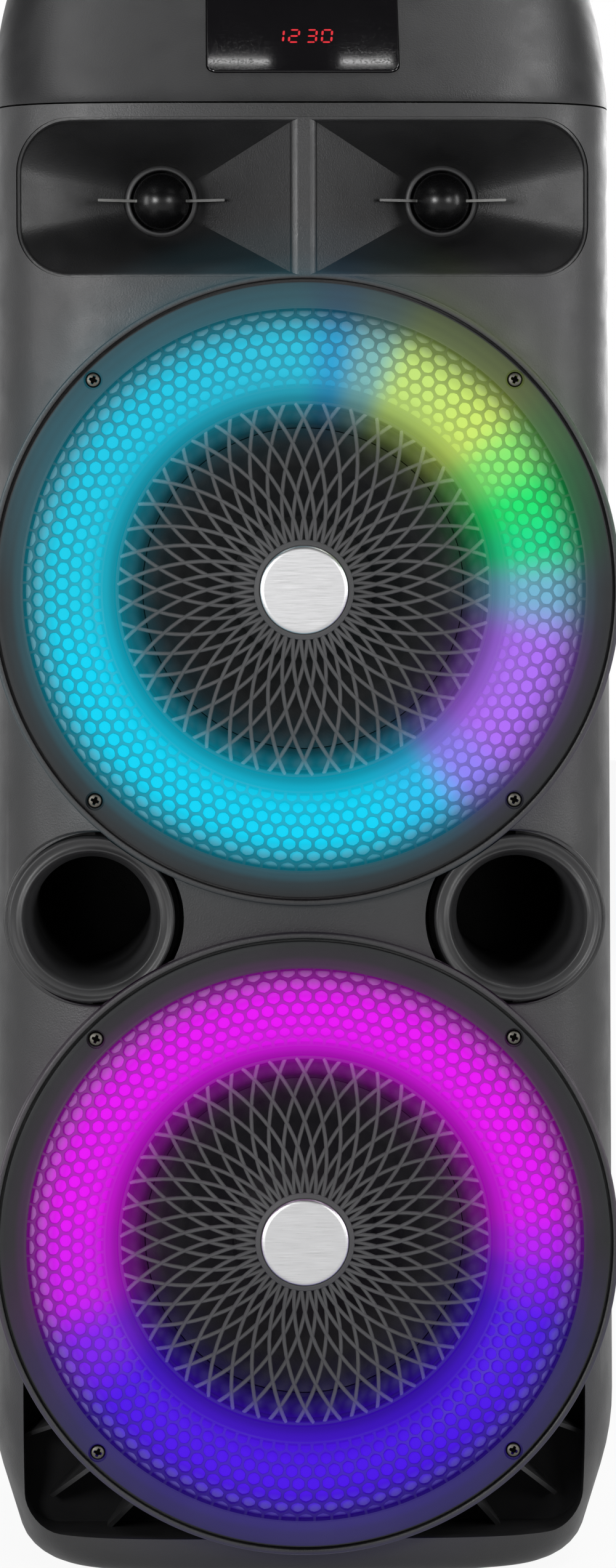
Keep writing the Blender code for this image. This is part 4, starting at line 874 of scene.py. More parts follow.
def horn_space(p, name, side, grow, behind):
    """One horn's space from its mouth to behind its throat, grown by a wall."""
    plain = horn_outline(p, grow, grow)
    throat = []
    for x, z in horn_outline(p, 0, 0):
        angle = atan2(z, x - p.throat_offset)
        reach = p.throat_radius + grow
        throat.append((p.throat_offset + reach * cos(angle), reach * sin(angle)))
    start = p.front_y + p.throat_depth
    wide = horn_outline(p, grow + p.ridge_round, grow + 0.0016)
    rings = [[(x, p.front_y - 0.02, z) for x, z in wide]]
    for quarter in shares(5):
        angle = pi / 2 * quarter
        part = 1 - sin(angle)
        ring = horn_outline(p, grow + p.ridge_round * part, grow + 0.0016 * part)
        deep = p.ridge_round * (1 - cos(angle))
        rings.append([(x, skin_y(p, x, p.horn_height) + 0.0004 + deep, z) for x, z in ring])
    edge = rings[-1]
    for t in shares(8)[1:]:
        ring = []
        for (x, z), (_, y, _), (end_x, end_z) in zip(plain, edge, throat):
            ring.append((x + (end_x - x) * t, y + (start - y) * t, z + (end_z - z) * t))
        rings.append(ring)
    rings.append([(x, start + behind, z) for x, z in throat])
    return loft(name, [[(side * x, y, z + p.horn_height) for x, y, z in ring] for ring in rings])


def horn_waveguide(p):
    """The twin horn: a lip, a ridge and two square-to-round funnels."""
    inset = GAP / 4
    outline = rounded(p.horn_half_width - inset, p.horn_half_height - inset, p.horn_corner - inset, 12)
    panel = prism("horn_form", raised(outline, p.horn_height), p.front_y - 0.05, p.front_y + 0.06)
    combine(panel, "INTERSECT", cabinet_form(p, "skin", 0.0004, 0.5, p.seam + 0.02))
    cut(panel, cabinet_form(p, "hollow", p.wall, 0.45, p.seam + 0.05))
    for side in (-1, 1):
        funnel = horn_space(p, "funnel", side, 0.0019, 0.013)
        skin = cabinet_form(p, "skin", p.wall / 2, 0.5, p.seam + 0.02)
        combine(panel, "UNION", combine(funnel, "INTERSECT", skin))
    for side in (-1, 1):
        cut(panel, horn_space(p, "space", side, 0, 0.023))
    return panel


def throat_collar(p, side):
    """The raised ring round a horn's throat."""
    outer = p.throat_radius + 0.0014
    inner = p.throat_radius - 0.0018
    profile = soften([(outer, 0.004), (outer, -0.0024, 0.0016), (inner, -0.0032, 0.0014), (inner, 0.004)], 5)
    place = (side * p.throat_offset, p.front_y + p.throat_depth, p.horn_height)
    return lathe("collar", profile, MIDDLE_ROUND, place)


def phase_plug(p, name, side):
    """A ball in the throat with a level vane through it."""
    centre = p.front_y + p.throat_depth - 0.002
    profile = [(p.plug_radius * sin(pi * t), -p.plug_radius * cos(pi * t)) for t in shares(24)]
    ball = lathe(f"{name}_ball", profile, 48, (side * p.throat_offset, centre, p.horn_height))
    edge = [(p.plug_radius * 0.9, -0.0075), (p.vane_half, -0.019), (p.vane_half - 0.002, -0.016)]
    edge.append((p.throat_radius, -0.005))
    outline = edge + [(-x, y) for x, y in reversed(edge)]
    rings = []
    for z, inset in ((-0.00065, 0.0003), (-0.0004, 0), (0.0004, 0), (0.00065, 0.0003)):
        ring = []
        for x, y in outline:
            x -= copysign(inset, x)
            deep = inset if y < -0.018 else 0
            ring.append((side * p.throat_offset + x, centre + y + deep, p.horn_height + z))
        rings.append(ring)
    return ball, loft(f"{name}_vane", rings)


def bass_port(p, name, side):
    """A flared tube with a rounded lip, cut back beside the two rings."""
    lip, mouth, bore = p.port_lip, p.port_mouth, p.port_bore
    tube = bore + 0.0025
    neck = lip - 0.0048
    profile = [
        (lip, 0.0022, 0.0012), (lip - 0.0012, 0, 0.0012), (lip - 0.0036, 0.0014, 0.0012),
        (mouth + 0.0026, 0.0012, 0.0012), (mouth + 0.001, 0, 0.0008), (mouth - 0.0008, 0.0028, 0.0016),
        (bore + 0.0022, 0.013, 0.004), (bore + 0.0006, 0.022, 0.006), (bore, 0.036, 0.006),
        (bore, p.port_length), (tube, p.port_length), (tube, 0.032), (neck, 0.012), (neck, 0.0043),
        (lip, 0.0043),
    ]
    place = (side * p.port_offset, p.front_y - p.port_proud, p.port_height)
    port = lathe(name, soften(profile, 5), MIDDLE_ROUND, place)
    for _, height in p.woofers:
        place = (0, p.rim_y, height)
        cut(port, cylinder("clear", p.drum_radius + 2 * GAP, -0.05, 0.2, place, BIG_ROUND))
    return port


# Forms of the woofer covers
def cover_point(p, height, angle, round_angle, offset):
    """A point of the cover at an angle round the axis and one on its round."""
    radius, along = dome(p, round_angle, offset)
    return (radius * cos(angle), p.rim_y + along, height + radius * sin(angle))


def cell_wedge(p, name, height):
    """One column of perforated cells, which repeats round the woofer's axis."""
    pitch = 2 * pi / p.cell_columns
    corners = [(0, 2 / 3), (0.5, 1 / 3), (0.5, -1 / 3), (0, -2 / 3), (-0.5, -1 / 3), (-0.5, 1 / 3)]
    outline = []
    for (x, y), (next_x, next_y) in zip(corners, corners[1:] + corners[:1]):
        outline += [(x, y, p.cell_corner), ((x + next_x) / 2, (y + next_y) / 2, 1)]
    sides = len(outline)
    limits = (p.dome_inner + radians(1.2), p.dome_outer - radians(1))
    hole_limits = (p.dome_inner + radians(2.4), p.dome_outer - radians(1.9))
    step_length = p.dome_curve * p.cell_step
    points = []
    faces = []
    for row in range(p.cell_rows):
        middle = p.cell_first - row * p.cell_step
        shift = 0.5 * (row % 2)
        radius, _ = dome(p, middle, 0)
        wide = 0.5 * pitch * radius - p.web / 2
        tall = 0.577 * step_length - p.web / 2
        first = len(points)
        layers = ((None, 0), (0.00028, 0), (0, -0.0004), (0, -p.dome_thick), (None, -p.dome_thick))
        for grow, offset in layers:
            for x, y, reach in outline:
                if grow is None:
                    turned, climb, ends = x * pitch, y * p.cell_step, limits
                else:
                    bearing = atan2(y * step_length, x * pitch * radius)
                    turned = reach * (wide + grow) * cos(bearing) / radius
                    climb = reach * (tall + grow) * sin(bearing) / p.dome_curve
                    ends = hole_limits
                round_angle = max(ends[0], min(ends[1], middle + climb))
                points.append(cover_point(p, height, turned + shift * pitch, round_angle, offset))
        for layer in range(len(layers) - 1):
            low = first + sides * layer
            for step in range(sides):
                after = (step + 1) % sides
                faces.append((low + step, low + after, low + sides + after, low + sides + step))
        back = low + sides
        rims = {0: (10, 11, 0, 1), p.cell_rows - 1: (4, 5, 6, 7)}
        for step in rims.get(row, ()):
            after = (step + 1) % sides
            faces.append((first + after, first + step, back + step, back + after))
    return solid(name, points, faces)


def cover_bands(p, word, height):
    """A cover's plain bands: the flange with its screw seats, and the inner edge."""
    outside = p.ring_radius
    front = -p.flange_proud
    top = p.dome_outer
    end = top - radians(1.8)
    outer = [
        (outside - 0.0007, p.flange_seat), (outside - 0.0007, front + 0.0002, 0.0007),
        (outside - 0.0027, front, 0.0004), (*dome(p, top, 0.00005), 0.0006), (*dome(p, end, 0.00015), 0.0002),
        dome(p, end, -p.dome_thick - 0.0001),
        dome(p, top, -p.dome_thick - 0.0001),
        (p.flange_inner, p.flange_seat),
    ]
    place = (0, p.rim_y, height)
    flange = lathe(f"{word}_cover_flange", soften(outer), BIG_ROUND, place)
    for x, z in screw_places(p):
        spot = (x, p.rim_y, height + z)
        cut(flange, cylinder("head", p.screw_head + 0.0009, -0.01, front + 0.0024, spot, 32))
        cut(flange, cylinder("shank", 0.0019, -0.01, 0.02, spot, 16))
    start = p.dome_inner + radians(2.2)
    band = dome_arc(p, 0.00012, start, p.dome_inner, 3)
    band += dome_arc(p, -p.dome_thick - 0.0001, p.dome_inner, start, 3)
    return flange, lathe(f"{word}_cover_edge", band, BIG_ROUND, place)


def light_profile(p):
    """The translucent ring under a perforated cover."""
    outer = -p.dome_thick - 0.0005
    inner = outer - 0.002
    first = p.dome_outer - radians(5)
    wall = p.flange_inner - 0.0001
    bore = p.mesh_radius + 0.0005
    foot = p.mesh_seat + 0.002 + GAP
    profile = dome_arc(p, outer, first, p.dome_inner, 24)
    lip = [
        (bore + 0.0002, p.mesh_seat - 0.0008), (bore, p.mesh_seat), (bore, foot),
        (bore - 0.0004, foot, 0.0002), (bore - 0.001, foot - 0.0009, 0.0004),
        (bore - 0.0017, foot, 0.0003), (bore - 0.0026, foot, 0.0003),
        (bore - 0.0032, foot - 0.0009, 0.0004), (bore - 0.004, foot, 0.0003),
        (bore - 0.004, foot + 0.002), (bore + 0.0021, foot + 0.002),
    ]
    profile += soften(lip)
    profile += dome_arc(p, inner, p.dome_inner, first, 24)
    back = p.driver_seat - GAP
    return profile + [(wall - 0.002, back), (wall, back), (wall, p.flange_seat + 0.0006)]


def mesh_depth(p, radius):
    """Depth of the centre grille's crowned face at a radius."""
    part = (radius - p.hub_radius) / (p.mesh_radius - p.hub_radius)
    return p.mesh_seat - p.mesh_rise * (1 - part)


def spiral_rib(p, height, way):
    """One spiral rib from the hub to the rim, with a rounded front."""
    half = p.rib_width / 2
    first = p.hub_radius - 0.0008
    last = p.mesh_radius - p.mesh_rim + 0.0006
    left = [(-half, 0.0019), (-half, 0.0007), (-half * 0.55, 0.0001)]
    shape = left + [(-across, deep) for across, deep in reversed(left)]
    rings = []
    for part in shares(14):
        radius = first + (last - first) * part
        angle = way * p.rib_sweep * part
        lean = atan2(way * p.rib_sweep * radius, last - first)
        ring = []
        for across, deep in shape:
            x = radius - across * sin(lean)
            y = across * cos(lean)
            along = p.rim_y + mesh_depth(p, radius) + deep + (0.00025 if way < 0 else 0)
            ring.append((x * cos(angle) - y * sin(angle), along, height + x * sin(angle) + y * cos(angle)))
        rings.append(ring)
    return loft("rib", rings)


def grille_rings(p, word, height):
    """The centre grille's rim and hub."""
    hole, outer, disc = p.hub_radius, p.mesh_radius, p.badge_radius
    place = (0, p.rim_y, height)
    inner = outer - p.mesh_rim
    seat = mesh_depth(p, outer)
    rim = [
        (outer, seat + 0.002), (outer, seat, 0.0005), (inner, seat + 0.0001, 0.0005), (inner, seat + 0.002),
    ]
    top = mesh_depth(p, hole)
    hub = [
        (0, top + 0.002), (hole + 0.0004, top + 0.002), (hole + 0.0004, top, 0.0006),
        (hole - 0.0016, top - 0.0006, 0.0006), (disc + 0.0003, top - 0.0006, 0.0003), (disc + 0.0003, top),
        (0, top),
    ]
    outside = lathe(f"{word}_centre_rim", soften(rim), BIG_ROUND, place)
    return outside, lathe(f"{word}_centre_hub", soften(hub), MIDDLE_ROUND, place)


def screw(p, name, x, z):
    """A cross-head screw standing in its seat."""
    head = p.screw_head
    profile = [
        (0, -0.0007), (head * 0.5, -0.00058, 0.001), (head - 0.0005, -0.0001, 0.0006), (head, 0.0011),
        (0.0016, 0.0011), (0.0016, 0.0105), (0, 0.012),
    ]
    piece = lathe(name, soften(profile), 32, (x, p.rim_y, z))
    cross = []
    for turns in range(4):
        for reach, bearing in ((0.0022, 16), (0.0012, 45), (0.0022, 74)):
            angle = radians(bearing + 90 * turns)
            cross.append((reach * cos(angle), reach * sin(angle)))
    matrix = Matrix.Translation((x, p.rim_y, z)) @ Matrix.Rotation(0.35, 4, "Y")
    return cut(piece, moved(prism("cross", cross, -0.003, 0.0014), matrix))


# Forms of the drivers
def cone_profile(p):
    """Cone, dust cap and coil former, bonded as one moving piece."""
    rim, coil = p.cone_radius, p.coil_radius
    edge = p.driver_seat - 0.004
    slope = 0.5955
    cap_edge = 0.034
    cap_depth = edge + (rim - cap_edge) * slope
    neck = edge + (rim - coil) * slope + 0.0014
    inner = coil - 0.0008
    front = [(cap_edge * part, cap_depth - 0.0095 * (1 - part**2)) for part in shares(10)]
    front.append((cap_edge + 0.0012, cap_depth - 0.0003))
    for step in range(1, 40):
        radius = cap_edge + 0.0012 + (rim - cap_edge - 0.0012) * step / 40
        depth = edge + (rim - radius) * slope
        front.append((radius, depth - 0.00035 * max(0, sin(step * pi / 5))))
    front.append((rim, edge))
    back = [(rim, edge + 0.0014), (coil, neck), (coil, p.basket_back + 0.013)]
    back += [(inner, p.basket_back + 0.013), (inner, neck - 0.0006), (cap_edge - 0.001, cap_depth + 0.0012)]
    for part in shares(10)[-2::-1]:
        back.append((cap_edge * part * 0.98, cap_depth + 0.0012 - 0.0092 * (1 - part**2)))
    return front + back


def surround_profile(p):
    """The half roll of rubber between the cone and the basket."""
    flange = p.driver_seat - GAP - 0.004 - GAP
    inner = p.cone_radius + 0.0004
    outer = p.driver_cutout - 0.001
    land = p.driver_flange - 0.0025
    middle = (inner + 0.0016 + outer) / 2
    half = (outer - inner - 0.0016) / 2
    front = [(inner, flange - 0.0006)]
    for part in shares(16):
        angle = pi * (1 - part)
        front.append((middle + half * cos(angle), flange - 0.0011 - 0.0064 * sin(angle)))
    front.append((land, flange - 0.0011))
    back = [(land, flange), (outer, flange)]
    for part in shares(16)[-2:0:-1]:
        angle = pi * (1 - part)
        back.append((middle + (half - 0.0009) * cos(angle), flange - 0.0001 - 0.0063 * sin(angle)))
    return front + back + [(inner + 0.0014, flange), (inner, flange + 0.0004)]


def spider_profile(p):
    """The corrugated cloth ring that centres the coil."""
    inner = p.coil_radius + 0.0004
    outer = inner + 0.0373
    level = p.basket_back - 0.0094
    front = []
    for part in shares(48):
        ease = min(1, part * 8, (1 - part) * 8)
        front.append((inner + (outer - inner) * part, level - 0.0004 + 0.0011 * ease * sin(part * 12 * pi)))
    return front + [(radius, along + 0.0009) for radius, along in reversed(front)]


# Nodes of the finishes
def principled(name):
    material = bpy.data.materials.new(name)
    material.use_nodes = True
    return material, material.node_tree, material.node_tree.nodes["Principled BSDF"]


def coordinates(tree, place=(0, 0, 0), scale=(1, 1, 1)):
    """Object coordinates, moved and stretched for a pattern."""
    source = tree.nodes.new("ShaderNodeTexCoord").outputs["Object"]
    return add_node(tree, "Mapping", Vector=source, Location=place, Scale=scale).outputs[0]


def separated(where):
    """The three values of a place."""
    return add_node(where.id_data, "SeparateXYZ", Vector=where).outputs


def noise(where, scale, detail=2, roughness=0.5):
    node = add_node(where.id_data, "TexNoise", Vector=where, Scale=scale)
    return fill(node, Detail=detail, Roughness=roughness).outputs["Fac"]


def ramp(source, stops, interpolation="LINEAR"):
    """A colour ramp with the given (position, colour) stops."""
    node = add_node(source.id_data, "ValToRGB", Fac=source)
    node.color_ramp.interpolation = interpolation
    marks = node.color_ramp.elements
    while len(marks) < len(stops):
        marks.new(0.5)
    for mark, (position, _) in zip(marks, stops):
        mark.position = position
    for mark, (_, colour) in zip(marks, stops):
        mark.color = (*colour, 1)
    return node.outputs["Color"]


def spread(source, low, high, first=0, last=1):
    """A number between two limits from one between two others."""
    ends = {"From_Min": first, "From_Max": last, "To_Min": low, "To_Max": high}
    return add_node(source.id_data, "MapRange", Value=source, **ends).outputs[0]


def bump(shader, source, strength, distance):
    """A fine relief from a pattern."""
    node = add_node(shader.id_data, "Bump", Height=source, Strength=strength, Distance=distance)
    fill(shader, Normal=node.outputs[0])


def shades(colour, amount):
    """A darker and a lighter neighbour of a colour."""
    dark = tuple(value * (1 - amount) for value in colour)
    return dark, tuple(min(1, value * (1 + amount)) for value in colour)


def mottle(shader, where, colour, amount, scale):
    """A base colour with slight clouds of a darker and a lighter shade."""
    dark, light = shades(colour, amount)
    clouds = noise(where, scale, 4, 0.55)
    fill(shader, Base_Color=ramp(clouds, [(0.3, dark), (0.7, light)]))


def moulded(name, colour, roughness, grain, relief, specular=0.35, amount=0.1):
    """Moulded plastic with a fine grain and a cloudy sheen and colour."""
    material, tree, shader = principled(name)
    where = coordinates(tree)
    mottle(shader, where, colour, amount, 22)
    sheen = spread(noise(where, 60, 3), roughness - 0.06, roughness + 0.06, 0.3, 0.7)
    fill(shader, Roughness=sheen, Specular_IOR_Level=specular)
    bump(shader, noise(where, 1 / grain, 3, 0.6), relief, grain * 0.35)
    return material


def brushed(name, colour, roughness, across):
    """Metal with fine lines along one way."""
    material, tree, shader = principled(name)
    lines = noise(coordinates(tree, scale=across), 1, 3, 0.65)
    dark, light = shades(colour, 0.12)
    sheen = spread(lines, roughness - 0.08, roughness + 0.1, 0.3, 0.7)
    tone = ramp(lines, [(0.3, dark), (0.72, light)])
    fill(shader, Base_Color=tone, Roughness=sheen, Metallic=1)
    bump(shader, lines, 0.12, 0.00006)
    return material


def glossy(name, colour, roughness, specular):
    """Smooth gloss with a faint waviness and dust."""
    material, tree, shader = principled(name)
    where = coordinates(tree)
    mottle(shader, where, colour, 0.12, 40)
    dust = spread(noise(where, 900), roughness, roughness + 0.05, 0.5, 0.8)
    fill(shader, Roughness=dust, Specular_IOR_Level=specular)
    bump(shader, noise(where, 35, 1), 0.02, 0.0003)
    return material


def woven(name, colour):
    """Coarse woven cloth, stiffened with resin."""
    material, tree, shader = principled(name)
    where = coordinates(tree)
    threads = []
    for way in ("X", "Z"):
        wave = add_node(tree, "TexWave", bands_direction=way)
        threads.append(fill(wave, Vector=where, Scale=420, Distortion=1.2).outputs["Fac"])
    weave = arithmetic("MAXIMUM", *threads)
    dark, light = shades(colour, 0.35)
    fill(shader, Base_Color=ramp(weave, [(0.2, dark), (0.9, light)]), Roughness=0.85)
    bump(shader, weave, 0.4, 0.0003)
    return material


def printed_board(name, colour):
    """Green lacquered board with copper runs."""
    material, tree, shader = principled(name)
    cells = add_node(tree, "TexVoronoi", distance="MANHATTAN", feature="DISTANCE_TO_EDGE")
    fill(cells, Vector=coordinates(tree), Scale=160)
    runs = spread(cells.outputs["Distance"], 0, 1, 0.02, 0.09)
    dark, light = shades(colour, 0.4)
    fill(shader, Base_Color=ramp(runs, [(0.2, light), (0.8, dark)]), Roughness=0.35)
    bump(shader, runs, 0.25, 0.0002)
    return material


# Nodes of the light
UPPER_LIGHT = (
    (0, (112, 176, 204)), (11, (30, 216, 140)), (22, (34, 224, 112)), (33, (130, 228, 112)),
    (44, (200, 229, 108)), (64, (190, 222, 118)), (74, (120, 178, 178)), (83, (48, 158, 206)),
    (92, (46, 186, 214)), (135, (30, 194, 224)), (180, (26, 200, 228)), (200, (14, 206, 238)),
    (285, (14, 206, 240)), (300, (40, 190, 236)), (312, (140, 128, 240)), (324, (170, 106, 240)),
    (345, (168, 108, 238)),
)
LOWER_LIGHT = (
    (0, (178, 30, 236)), (10, (216, 22, 238)), (30, (226, 20, 238)), (170, (224, 20, 238)),
    (190, (200, 28, 234)), (205, (122, 34, 230)), (220, (78, 22, 226)), (300, (72, 18, 224)),
    (340, (80, 24, 228)), (352, (128, 28, 232)),
)


def light_group(word, height, stops):
    """A woofer's light colour by angle, and the distance from its axis."""
    name = f"{word} light"
    if name in bpy.data.node_groups:
        return bpy.data.node_groups[name]
    tree = bpy.data.node_groups.new(name, "ShaderNodeTree")
    for title, kind in (("Colour", "Color"), ("Radius", "Float"), ("Rise", "Float")):
        tree.interface.new_socket(title, in_out="OUTPUT", socket_type=f"NodeSocket{kind}")
    parts = separated(coordinates(tree, (0, 0, -height)))
    around = spread(arithmetic("ARCTAN2", parts["Z"], parts["X"]), 0, 1, -pi, pi)
    marks = sorted((((degrees + 180) % 360) / 360, linear(*colour)) for degrees, colour in stops)
    first, last = marks[0], marks[-1]
    part = (1 - last[0]) / (1 - last[0] + first[0])
    meet = tuple(a + (b - a) * part for a, b in zip(last[1], first[1]))
    marks = [(0, meet)] + [mark for mark in marks if 0 < mark[0] < 1] + [(1, meet)]
    tone = ramp(around, marks, "EASE")
    squares = [arithmetic("MULTIPLY", parts[axis], parts[axis]) for axis in ("X", "Z")]
    radius = arithmetic("SQRT", arithmetic("ADD", *squares))
    add_node(tree, "NodeGroupOutput", Colour=tone, Radius=radius, Rise=parts["Z"])
    return tree


def radial(source, curve):
    """A value by the distance from a woofer's axis, from (radius, value) points."""
    first, last = curve[0][0], curve[-1][0]
    stops = [((radius - first) / (last - first), (value,) * 3) for radius, value in curve]
    return ramp(spread(source, 0, 1, first, last), stops, "EASE")


def mixed(blend, first, second):
    """Two colours multiplied or added."""
    node = add_node(first.id_data, "Mix", data_type="RGBA", blend_type=blend, Factor=1)
    feed(node.inputs[COLOUR_A], first)
    feed(node.inputs[COLOUR_B], second)
    return node.outputs[COLOUR_RESULT]


def lit(p, material, word, curve, ends=None, span=(-1, 1)):
    """Adds a woofer's light to a finish, by a curve over the radius and shares at two levels."""
    tree = material.node_tree
    shader = tree.nodes["Principled BSDF"]
    height, stops = (p.upper, UPPER_LIGHT) if word == "upper" else (p.lower, LOWER_LIGHT)
    light = add_node(tree, "Group", node_tree=light_group(word, height, stops)).outputs
    level = radial(light["Radius"], curve)
    if ends:
        fade = spread(light["Rise"], *ends, span[0] * p.ring_radius, span[1] * p.ring_radius)
        level = mixed("MULTIPLY", level, fade)
    colour = mixed("MULTIPLY", light["Colour"], level)
    glow = shader.inputs["Emission Color"]
    if glow.is_linked:
        colour = mixed("ADD", glow.links[0].from_socket, colour)
    fill(shader, Emission_Color=colour, Emission_Strength=1)
    return material


def diffuser(p, word):
    """Frosted light ring: glowing in its middle and pale grey at its outer edge."""
    curve = [(0.08, 0.06), (0.0885, 0.2), (0.0925, 0.42), (0.097, 0.6), (0.101, 0.86), (0.107, 1)]
    curve += [(0.12, 1), (0.126, 0.76), (0.132, 0.34), (0.137, 0.09), (0.142, 0.02)]
    material, tree, shader = principled(f"{word} diffuser")
    lit(p, material, word, curve)
    light = add_node(tree, "Group", node_tree=bpy.data.node_groups[f"{word} light"])
    outward = spread(light.outputs["Radius"], 0, 1, 0.1, 0.14)
    dim = tuple(value * 0.02 for value in p.diffuser)
    tone = ramp(outward, [(0, dim), (0.575, dim), (0.85, p.diffuser)])
    fill(shader, Base_Color=tone, Emission_Strength=1.08, Roughness=0.6, Specular_IOR_Level=0.05)
    bump(shader, noise(coordinates(tree), 1500), 0.2, 0.0002)
    return material


def cover_plastic(p, word, name, colour, curve):
    """Cover plastic with a woofer's light in it."""
    return lit(p, moulded(f"{word} {name}", colour, 0.5, 0.0006, 0.2, 0.15), word, curve)


def flange_plastic(p, word):
    """Flange plastic with painted glow from the woofer's light, brighter at the top of the upper ring and the
    foot of the lower.
    """
    if word == "upper":
        near = [(0.13, 0.22), (0.1345, 0.15), (0.139, 0.075), (0.143, 0.02), (0.147, 0.006), (0.149, 0)]
        wide = [(0.132, 0.03), (0.139, 0.065), (0.144, 0.1), (0.1482, 0.085), (0.149, 0)]
        ends, span = (0, 1), (0, 0.5)
    else:
        near = [(0.13, 0.14), (0.1345, 0.085), (0.139, 0.035), (0.143, 0.006), (0.149, 0)]
        wide = [(0.13, 0.08), (0.1345, 0.12), (0.139, 0.15), (0.144, 0.12), (0.1482, 0.1), (0.149, 0)]
        ends, span = (1, 0), (-0.85, 0)
    return lit(p, cover_plastic(p, word, "flange", p.cover, near), word, wide, ends, span)


def shadowed(material, source, stops, socket="Base Color"):
    """Paints shade into a finish's colour, or fades its painted glow, by a given share such as a place's
    depth, width or recess.
    """
    target = material.node_tree.nodes["Principled BSDF"].inputs[socket]
    tone = ramp(source, [(position, (value,) * 3) for position, value in stops])
    feed(target, mixed("MULTIPLY", target.links[0].from_socket, tone))


def depth_share(tree, near, far):
    """Zero at one place along the part's depth and one at another."""
    return spread(separated(coordinates(tree))["Y"], 0, 1, near, far)


def width_share(tree, near, far):
    """Zero at one distance from the part's middle and one at another."""
    across = arithmetic("ABSOLUTE", separated(coordinates(tree))["X"])
    return spread(across, 0, 1, near, far)


def floor_finish(p):
    material, tree, shader = principled("studio floor")
    mottle(shader, coordinates(tree), p.floor, 0.01, 1.5)
    fill(shader, Roughness=0.9, Specular_IOR_Level=0.1)
    part = arithmetic("MULTIPLY", seen(tree, 0.55), 0.93)
    white = add_node(tree, "Emission", Color=(1, 1, 1, 1), Strength=1)
    mix = tree.nodes.new("ShaderNodeMixShader")
    for socket, value in zip(mix.inputs, (part, shader.outputs[0], white.outputs[0])):
        feed(socket, value)
    fill(tree.nodes["Material Output"], Surface=mix.outputs[0])
    return material


def seen(tree, mirrored=1):
    """One for rays from the camera, and a share for those from a mirror or glass."""
    path = tree.nodes.new("ShaderNodeLightPath").outputs
    rays = arithmetic("MAXIMUM", path["Is Glossy Ray"], path["Is Transmission Ray"])
    return arithmetic("MAXIMUM", path["Is Camera Ray"], arithmetic("MULTIPLY", rays, mirrored))


def studio_lamp(name, place, target, size, power):
    lamp = bpy.data.lights.new(name, "AREA")
    lamp.shape = "RECTANGLE"
    lamp.size, lamp.size_y = size
    lamp.energy = power
    obj = bpy.data.objects.new(name, lamp)
    obj.location = place
    obj.rotation_euler = (Vector(target) - Vector(place)).to_track_quat("-Z", "Y").to_euler()
    bpy.context.scene.collection.objects.link(obj)


def studio_world(scene):
    scene.world = bpy.data.worlds.new("studio")
    scene.world.use_nodes = True
    tree = scene.world.node_tree
    rise = separated(tree.nodes.new("ShaderNodeTexCoord").outputs["Generated"])["Z"]
    sky = ramp(rise, [(0, (1, 1, 1)), (0.08, (1, 1, 1)), (0.35, (0.04, 0.04, 0.04))])
    tone = add_node(tree, "Mix", data_type="RGBA", Factor=seen(tree))
    feed(tone.inputs[COLOUR_A], (0.08, 0.08, 0.082, 1))
    feed(tone.inputs[COLOUR_B], sky)
    fill(tree.nodes["Background"], Color=tone.outputs[COLOUR_RESULT], Strength=1)


def studio_camera(scene):
    yaw, pitch, roll = 0.0215, -0.0706, -0.0014
    ahead = Vector((sin(yaw) * cos(pitch), cos(yaw) * cos(pitch), sin(pitch)))
    data = bpy.data.cameras.new("camera")
    data.sensor_fit = "VERTICAL"
    data.sensor_height = 36
    data.lens = 118.5
    camera = bpy.data.objects.new("camera", data)
    facing = ahead.to_track_quat("-Z", "Y").to_matrix().to_4x4()
    place = Matrix.Translation((-0.0522, -2.643, 0.5729))
    camera.matrix_world = place @ facing @ Matrix.Rotation(roll, 4, "Z")
    scene.collection.objects.link(camera)
    scene.camera = camera


# Operators, one for each piece or group of like pieces
class SPEAKER_OT_stage(bpy.types.Operator):
    """Floor, soft studio lamps, world and the camera"""

    bl_idname = "speaker.stage"
    bl_label = "Stage"

    def execute(self, context):
        p = plan()
        floor = upright("studio_floor", rounded(6, 6, 0.5), -0.02, 0)
        floor.data.materials.append(floor_finish(p))
        studio_lamp("key", (-1.15, -2.15, 0.85), (0, -0.1, 0.6), (0.5, 0.6), 29)
        studio_lamp("key_right", (1.25, -2.1, 0.85), (0, -0.1, 0.6), (0.5, 0.6), 12)
        studio_lamp("side_left", (-1.95, -1, 0.8), (0, -0.1, 0.55), (0.6, 1), 13)
        studio_lamp("side_right", (2, -0.8, 0.85), (0, -0.1, 0.55), (0.6, 1), 16)
        studio_lamp("top_left", (-0.75, -0.35, 2.35), (-0.05, -0.05, 0.75), (0.5, 0.5), 6)
        studio_lamp("top_right", (0.85, -0.35, 2.35), (0.05, -0.05, 0.75), (0.5, 0.5), 12)
        studio_lamp("top_back", (0, 0.9, 2.3), (0, 0, 0.7), (1.6, 0.8), 10)
        studio_lamp("rear", (0.9, 2.4, 1.3), (0, 0, 0.45), (1.2, 1.6), 30)
        studio_lamp("window_left", (-0.018, -0.199, 2.4), (-0.018, -0.199, 0), (0.05, 0.004), 0.01)
        studio_lamp("window_right", (0.087, -0.199, 2.4), (0.087, -0.199, 0), (0.045, 0.004), 0.01)
        studio_world(context.scene)
        studio_camera(context.scene)
        context.scene.view_settings.view_transform = "Standard"
        return {"FINISHED"}


def shade_pocket_floors(p, mesh):
    """Gives the floors of the pockets and port hollows a darker copy of the case plastic, as painted shade.
    """
    mesh.materials.append(moulded("pocket plastic", shades(p.case, 0.6)[0], 0.7, 0.0008, 0.4, 0.06))
    notes = mesh.attributes["recess"].data
    for face in mesh.polygons:
        if face.normal.y > -0.9 or min(notes[index].value for index in face.vertices) < 0.1:
            continue
        depth = face.center.y - p.front_y
        if min(abs(depth - p.pocket_depth), abs(depth - p.hollow_depth)) < 0.0005:
            face.material_index = 1


